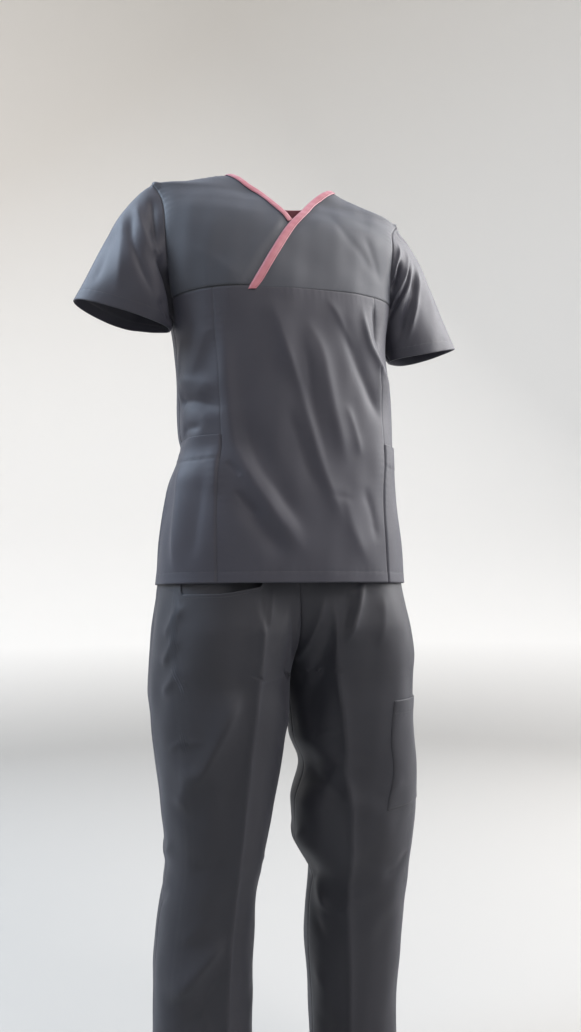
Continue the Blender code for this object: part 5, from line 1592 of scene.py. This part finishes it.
def piece_of(cloth, kind, node):
    """Makes a piece of cloth and hides the node of the plain form that it stands for."""
    BUILT[cloth.name] = cloth
    made = cloth.make(finish_for(kind))
    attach(made, "root")
    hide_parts(node)


def mesh_step():
    return bpy.context.scene.scrubs_sizes.mesh_step


def cut(node, place, kind, step=1.0, hold="hung", name=None, rests_on=(), **shape):
    """Cuts and makes the cloth that stands for one node of the plain form."""
    cloth = Cloth(name or node + "_cloth", place, mesh_step() * step, **shape)
    piece_of(cloth, kind, node)


def gape_profile(height, reach):
    """Lets the upper edge of a patch stand a little away from what is behind it."""
    def profile(u, v, away, run):
        total = run["top"][:, -1:]
        middle = np.sin(np.pi * np.clip(run["top"] / total, 0.0, 1.0)) ** 1.5
        return height * middle * np.exp(-(away["top"] / reach) ** 2)
    return profile


def patch_profile(edges, drop):
    """Presses the sewn edges of a patch down on to the panel under it."""
    def profile(u, v, away, run):
        height = np.zeros(u.shape)
        for edge in edges:
            height = np.minimum(height, -drop * np.exp(-(away[edge] / PATCH_EDGE) ** 2))
        return height
    return profile


def mouth_profile(depth):
    """The turned-in facing along the mouth of a pocket, with the dent of its stitches."""
    def profile(u, v, away, run):
        wave = np.sin(2.0 * np.pi * run["top"] / MOUTH_WAVE)
        return turned_edge(away["top"], depth, wave, *MOUTH_RELIEF)
    return profile


def band_profile(u, v, away, run):
    """The rolled shape of a bound edge, gently puckered along its length."""
    gap = away["left"]
    across = np.clip(gap / (BAND + BAND_ROLL), 0.0, 1.0)
    wave = np.sin(2.0 * np.pi * run["left"] / 0.019 + 1.7 * np.sin(run["left"] / 0.031))
    round_edge = 1.0 - (1.0 - np.clip(gap / 0.0035, 0.0, 1.0)) ** 2
    return (0.0017 * round_edge + 0.0006 * np.sin(np.pi * across)
            + 0.00022 * wave * np.sin(np.pi * across) - 0.0010 * (1.0 - round_edge))


def bearer_profile(u, v, away, run):
    return -BEARER_DEEP * ease((0.60 - u) / 0.30)


def both(*profiles):
    def profile(u, v, away, run):
        return sum(one(u, v, away, run) for one in profiles)
    return profile


def make_front_panel():
    cut("front_panel", front_panel_place(), "top",
        seams={"left": "princess", "right": "princess", "top": "yoke"}, hem="bottom",
        hem_depth=TOP_HEM_DEPTH)


def make_side_front(side):
    cut("side_front_" + WORDS[side], side_front_place(side), "top",
        seams={"left": "princess", "right": "plain", "top": "yoke"}, hem="bottom",
        hem_depth=TOP_HEM_DEPTH)


def make_side_pocket(side):
    whole = side_front_place(side)

    def place(u, v):
        return whole(u, v, start=POCKET_MOUTH)
    cut("side_pocket_" + WORDS[side], place, "top",
        rests_on=["side_front_%s_cloth" % WORDS[side]],
        seams={"left": "princess", "right": "plain"}, hem="bottom", hem_depth=TOP_HEM_DEPTH,
        lift=POCKET_LIFT,
        profile=both(gape_profile(0.0006, 0.030), patch_profile(("left", "right"), 0.0012),
                     mouth_profile(SIDE_MOUTH_DEPTH)))


def make_yoke(side):
    cut("yoke_front_" + WORDS[side], yoke_place(side), "yoke",
        seams={"right": "armhole", "top": "plain", "bottom": "yoke"})


def make_neck_band(side):
    node = "neck_band_" + WORDS[side]
    cloth = Cloth(node + "_cloth", neck_band_place(side), mesh_step() * BAND_STEP,
                  across=(-BAND_ROLL / BAND, 1.0), profile=band_profile)
    cloth.inside = cloth.inside + BAND_FOLD * ease(1.0 - cloth.away["left"] / 0.0012)
    piece_of(cloth, "binding", node)


def make_back_band():
    whole = back_band_place()

    def place(u, v):
        return whole(v, u)
    across = (-BAND_ROLL / BAND, 1.0)
    cut("neck_band_back", place, "binding", BAND_STEP, "folded", across=across,
        profile=band_profile)
    cut("neck_band_back", place, "binding", 1.0, "folded", "neck_band_back_turned_in",
        across=across, lift=-BAND_TURN)


def make_back_panel():
    cut("back_panel", back_place(), "top", 1.2, seams={"left": "plain", "right": "plain"},
        hem="bottom", hem_depth=TOP_HEM_DEPTH)


def make_sleeve(side):
    cut("sleeve_" + WORDS[side], sleeve_place(side), "top",
        seams={"left": "plain", "right": "plain", "top": "armhole"}, hem="bottom",
        hem_depth=SLEEVE_HEM_DEPTH)


def make_leg(side, behind):
    seams = {"left": "leg", "right": "leg"}
    if behind:
        seams["top"] = "plain"
    cut("leg_%s_%s" % ("back" if behind else "front", WORDS[side]), leg_place(side, behind),
        "trousers", 1.2 if behind else 1.05, seams=seams, hem="bottom",
        hem_depth=TROUSER_HEM_DEPTH)


def make_hip_pocket(side):
    cut("hip_pocket_" + WORDS[side], bearer_place(side), "trousers", 1.5, lift=BEARER_LIFT,
        profile=bearer_profile)


def make_cargo_pocket():
    cut("cargo_pocket_left", cargo_place(), "trousers", 0.8, name="cargo_pocket_cloth",
        rests_on=["leg_front_left_cloth", "leg_back_left_cloth"], hem="top",
        hem_depth=MOUTH_HEM_DEPTH, lift=POCKET_LIFT,
        profile=both(gape_profile(0.0008, 0.025),
                     patch_profile(("left", "right", "bottom"), 0.0008)))


def make_waistband():
    cut("waistband", waistband_place(), "trousers", 1.2, "gathered", seams={"bottom": "plain"})


def make_stitches():
    sizes = bpy.context.scene.scrubs_sizes
    for part, slot, lines in (("top", "top_cloth", TOP_STITCHES),
                              ("trousers", "trouser_cloth", TROUSER_STITCHES)):
        rows = [BUILT[name + "_cloth"].line(edge, gap) for name, edge, gap in lines]
        piece = sew("stitches_" + part, rows, sizes.stitch_pitch, sizes.stitch_length,
                    sizes.thread_width, sizes.thread_width * 0.8)
        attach(piece, "root")


# ------------------------------------------------------------------ stage
CAMERA_PLACE = (-0.4517, -1.2616, -0.742)
CAMERA_HEADING, CAMERA_RISE, CAMERA_ROLL = -20.14, 5.89, -0.62
CAMERA_LENS = 27.21
# Lamps: name, place, target, size, power as a share of the side light, colour
LAMPS = (
    ("left window", (-2.4, 0.85, 1.9), (0.0, 0.0, -0.75), (1.8, 2.6), 1.12, (0.66, 0.81, 1.0)),
    ("right window", (2.8, -0.1, 1.1), (0.0, 0.0, -0.75), (2.0, 3.0), 1.18,
     (1.0, 0.985, 0.985)),
    ("front fill", (1.5, -2.6, 2.2), (0.0, 0.0, -0.35), (1.6, 1.6), 0.36, (1.0, 0.94, 0.93)),
)
ROOM_COLOUR = (1.0, 0.985, 0.965, 1.0)
ROOM_LIGHT = 0.85


def make_camera():
    camera = bpy.data.cameras.new("camera")
    camera.sensor_width = 36.0
    camera.lens = CAMERA_LENS
    camera.clip_start = 0.02
    eye = put_in_scene("camera", camera)
    eye.location = CAMERA_PLACE
    turn = (Matrix.Rotation(np.radians(CAMERA_HEADING), 4, "Z")
            @ Matrix.Rotation(np.radians(90.0 + CAMERA_RISE), 4, "X")
            @ Matrix.Rotation(np.radians(CAMERA_ROLL), 4, "Z"))
    eye.rotation_euler = turn.to_euler()
    bpy.context.scene.camera = eye


def make_backdrop():
    """A pale round floor that sweeps up into a wall on all sides."""
    radius, sweep, height, turns = 4.6, 1.4, 7.6, 96
    bend = np.linspace(0.0, np.pi / 2.0, 13)
    profile = [(0.0, 0.0), (radius * 0.3, 0.0)]
    profile += [(radius - sweep + sweep * np.sin(a), sweep - sweep * np.cos(a)) for a in bend]
    profile += [(radius, height)]
    points = [(0.0, 0.0, FLOOR_LEVEL)]
    faces = []
    for out, up in profile[1:]:
        for number in range(turns):
            angle = 2.0 * np.pi * number / turns
            points.append((out * np.cos(angle), out * np.sin(angle), FLOOR_LEVEL + up))
    for number in range(turns):
        after = (number + 1) % turns
        faces.append((0, 1 + number, 1 + after))
        for ring in range(len(profile) - 2):
            low, high = 1 + ring * turns, 1 + (ring + 1) * turns
            faces.append((low + number, high + number, high + after, low + after))
    mesh = bpy.data.meshes.new("backdrop")
    mesh.from_pydata(points, [], faces)
    mesh.shade_smooth()
    mesh.materials.append(paper_finish(bpy.context.scene.scrubs_colours.backdrop))
    floor = put_in_scene("backdrop", mesh)


def make_lamp(name, place, target, size, power, colour):
    light = bpy.data.lights.new(name, "AREA")
    light.shape = "RECTANGLE"
    light.size, light.size_y = size
    light.energy = power
    light.color = colour
    lamp = put_in_scene(name, light)
    lamp.location = place
    aim = Vector(target) - Vector(place)
    lamp.rotation_euler = aim.to_track_quat("-Z", "Y").to_euler()


def make_stage():
    side_light = bpy.context.scene.scrubs_sizes.side_light
    make_camera()
    make_backdrop()
    for name, place, target, size, share, colour in LAMPS:
        make_lamp(name, place, target, size, side_light * share, colour)
    world = bpy.data.worlds.new("Pale room")
    world.use_nodes = True
    set_inputs(world.node_tree.nodes["Background"], Color=ROOM_COLOUR, Strength=ROOM_LIGHT)
    bpy.context.scene.world = world
    bpy.context.scene.view_settings.view_transform = "Standard"


# ------------------------------------------------------------------ add-on
class SCRUBS_PG_sizes(PropertyGroup):
    """Sizes that a user may change."""
    mesh_step: FloatProperty(name="Mesh step", description="Size of the squares of the cloth",
                             default=0.0036, min=0.002, max=0.02, unit="LENGTH")
    stitch_pitch: FloatProperty(name="Stitch pitch", description="From one stitch to the next",
                                default=0.0031, min=0.001, max=0.01, unit="LENGTH")
    stitch_length: FloatProperty(name="Stitch length", description="Length of one stitch",
                                 default=0.0024, min=0.0005, max=0.01, unit="LENGTH")
    thread_width: FloatProperty(name="Thread width", description="Width of the sewing thread",
                                default=0.0006, min=0.0002, max=0.002, unit="LENGTH")
    side_light: FloatProperty(name="Side light", description="Power of each side light",
                              default=172.0, min=0.0, unit="POWER")


def colour_property(name, what, value):
    return FloatVectorProperty(name=name, description=what, default=value, min=0.0, max=1.0,
                               size=3, subtype="COLOR")


class SCRUBS_PG_colours(PropertyGroup):
    """Colours that a user may change."""
    yoke: colour_property("Yoke", "Colour of the two front yokes", (0.0215, 0.0240, 0.0320))
    top: colour_property("Top", "Colour of the rest of the top", (0.0190, 0.0190, 0.0270))
    trousers: colour_property("Trousers", "Colour of the trousers", (0.0105, 0.0108, 0.0150))
    binding: colour_property("Binding", "Colour of the neck binding", (0.31, 0.108, 0.130))
    thread: colour_property("Thread", "Colour of the stitches", (0.009, 0.009, 0.013))
    backdrop: colour_property("Backdrop", "Colour of the wall", (0.68, 0.66, 0.63))


class SCRUBS_OT_front_panel(Operator):
    """Front panel of the top"""
    bl_idname = "scrubs.front_panel"
    bl_label = "Front panel"

    def execute(self, context):
        make_front_panel()
        return {"FINISHED"}


class SCRUBS_OT_side_fronts(Operator):
    """The two side front panels"""
    bl_idname = "scrubs.side_fronts"
    bl_label = "Side fronts"

    def execute(self, context):
        for side in (-1, 1):
            make_side_front(side)
        return {"FINISHED"}


class SCRUBS_OT_side_pockets(Operator):
    """The two pockets on the side front panels"""
    bl_idname = "scrubs.side_pockets"
    bl_label = "Side pockets"

    def execute(self, context):
        for side in (-1, 1):
            make_side_pocket(side)
        return {"FINISHED"}


class SCRUBS_OT_yokes(Operator):
    """The two front yokes, the left one lapped over the right one"""
    bl_idname = "scrubs.yokes"
    bl_label = "Yokes"

    def execute(self, context):
        for side in (-1, 1):
            make_yoke(side)
        return {"FINISHED"}


class SCRUBS_OT_neck_bands(Operator):
    """The binding round the neck"""
    bl_idname = "scrubs.neck_bands"
    bl_label = "Neck binding"

    def execute(self, context):
        for side in (-1, 1):
            make_neck_band(side)
        make_back_band()
        return {"FINISHED"}


class SCRUBS_OT_back_panel(Operator):
    """Back panel of the top"""
    bl_idname = "scrubs.back_panel"
    bl_label = "Back panel"

    def execute(self, context):
        make_back_panel()
        return {"FINISHED"}


class SCRUBS_OT_sleeves(Operator):
    """The two short sleeves"""
    bl_idname = "scrubs.sleeves"
    bl_label = "Sleeves"

    def execute(self, context):
        for side in (-1, 1):
            make_sleeve(side)
        return {"FINISHED"}


class SCRUBS_OT_legs(Operator):
    """The fronts and backs of both trouser legs"""
    bl_idname = "scrubs.legs"
    bl_label = "Trouser legs"

    def execute(self, context):
        for side in (-1, 1):
            make_leg(side, behind=False)
            make_leg(side, behind=True)
        return {"FINISHED"}


class SCRUBS_OT_trouser_pockets(Operator):
    """The panels behind the hip pocket mouths, and the pocket on the left thigh"""
    bl_idname = "scrubs.trouser_pockets"
    bl_label = "Trouser pockets"

    def execute(self, context):
        for side in (-1, 1):
            make_hip_pocket(side)
        make_cargo_pocket()
        return {"FINISHED"}


class SCRUBS_OT_waistband(Operator):
    """The gathered waistband under the top"""
    bl_idname = "scrubs.waistband"
    bl_label = "Waistband"

    def execute(self, context):
        make_waistband()
        return {"FINISHED"}


class SCRUBS_OT_stitches(Operator):
    """The stitches that show on both garments"""
    bl_idname = "scrubs.stitches"
    bl_label = "Stitches"

    def execute(self, context):
        make_stitches()
        return {"FINISHED"}


class SCRUBS_OT_stage(Operator):
    """Camera, lights, floor and wall"""
    bl_idname = "scrubs.stage"
    bl_label = "Stage"

    def execute(self, context):
        make_stage()
        return {"FINISHED"}


STEPS = (SCRUBS_OT_front_panel, SCRUBS_OT_side_fronts, SCRUBS_OT_side_pockets, SCRUBS_OT_yokes,
         SCRUBS_OT_neck_bands, SCRUBS_OT_back_panel, SCRUBS_OT_sleeves, SCRUBS_OT_legs,
         SCRUBS_OT_trouser_pockets, SCRUBS_OT_waistband, SCRUBS_OT_stitches, SCRUBS_OT_stage)


class SCRUBS_PT_panel(Panel):
    """Lists the sizes, the colours and the steps"""
    bl_idname = "SCRUBS_PT_panel"
    bl_label = "Medical scrubs"
    bl_space_type = "VIEW_3D"
    bl_region_type = "UI"
    bl_category = "Scrubs"

    def draw(self, context):
        layout = self.layout
        for group in (context.scene.scrubs_sizes, context.scene.scrubs_colours):
            for name in group.bl_rna.properties.keys():
                if name not in ("rna_type", "name"):
                    layout.prop(group, name)
        for step in STEPS:
            layout.operator(step.bl_idname)


CLASSES = (SCRUBS_PG_sizes, SCRUBS_PG_colours) + STEPS + (SCRUBS_PT_panel,)


def register():
    for made in CLASSES:
        bpy.utils.register_class(made)
    bpy.types.Scene.scrubs_sizes = PointerProperty(type=SCRUBS_PG_sizes)
    bpy.types.Scene.scrubs_colours = PointerProperty(type=SCRUBS_PG_colours)


def unregister():
    del bpy.types.Scene.scrubs_colours
    del bpy.types.Scene.scrubs_sizes
    for made in reversed(CLASSES):
        bpy.utils.unregister_class(made)


def main():
    register()
    for step in STEPS:
        family, name = step.bl_idname.split(".")
        getattr(getattr(bpy.ops, family), name)()


if __name__ == "__main__":
    main()
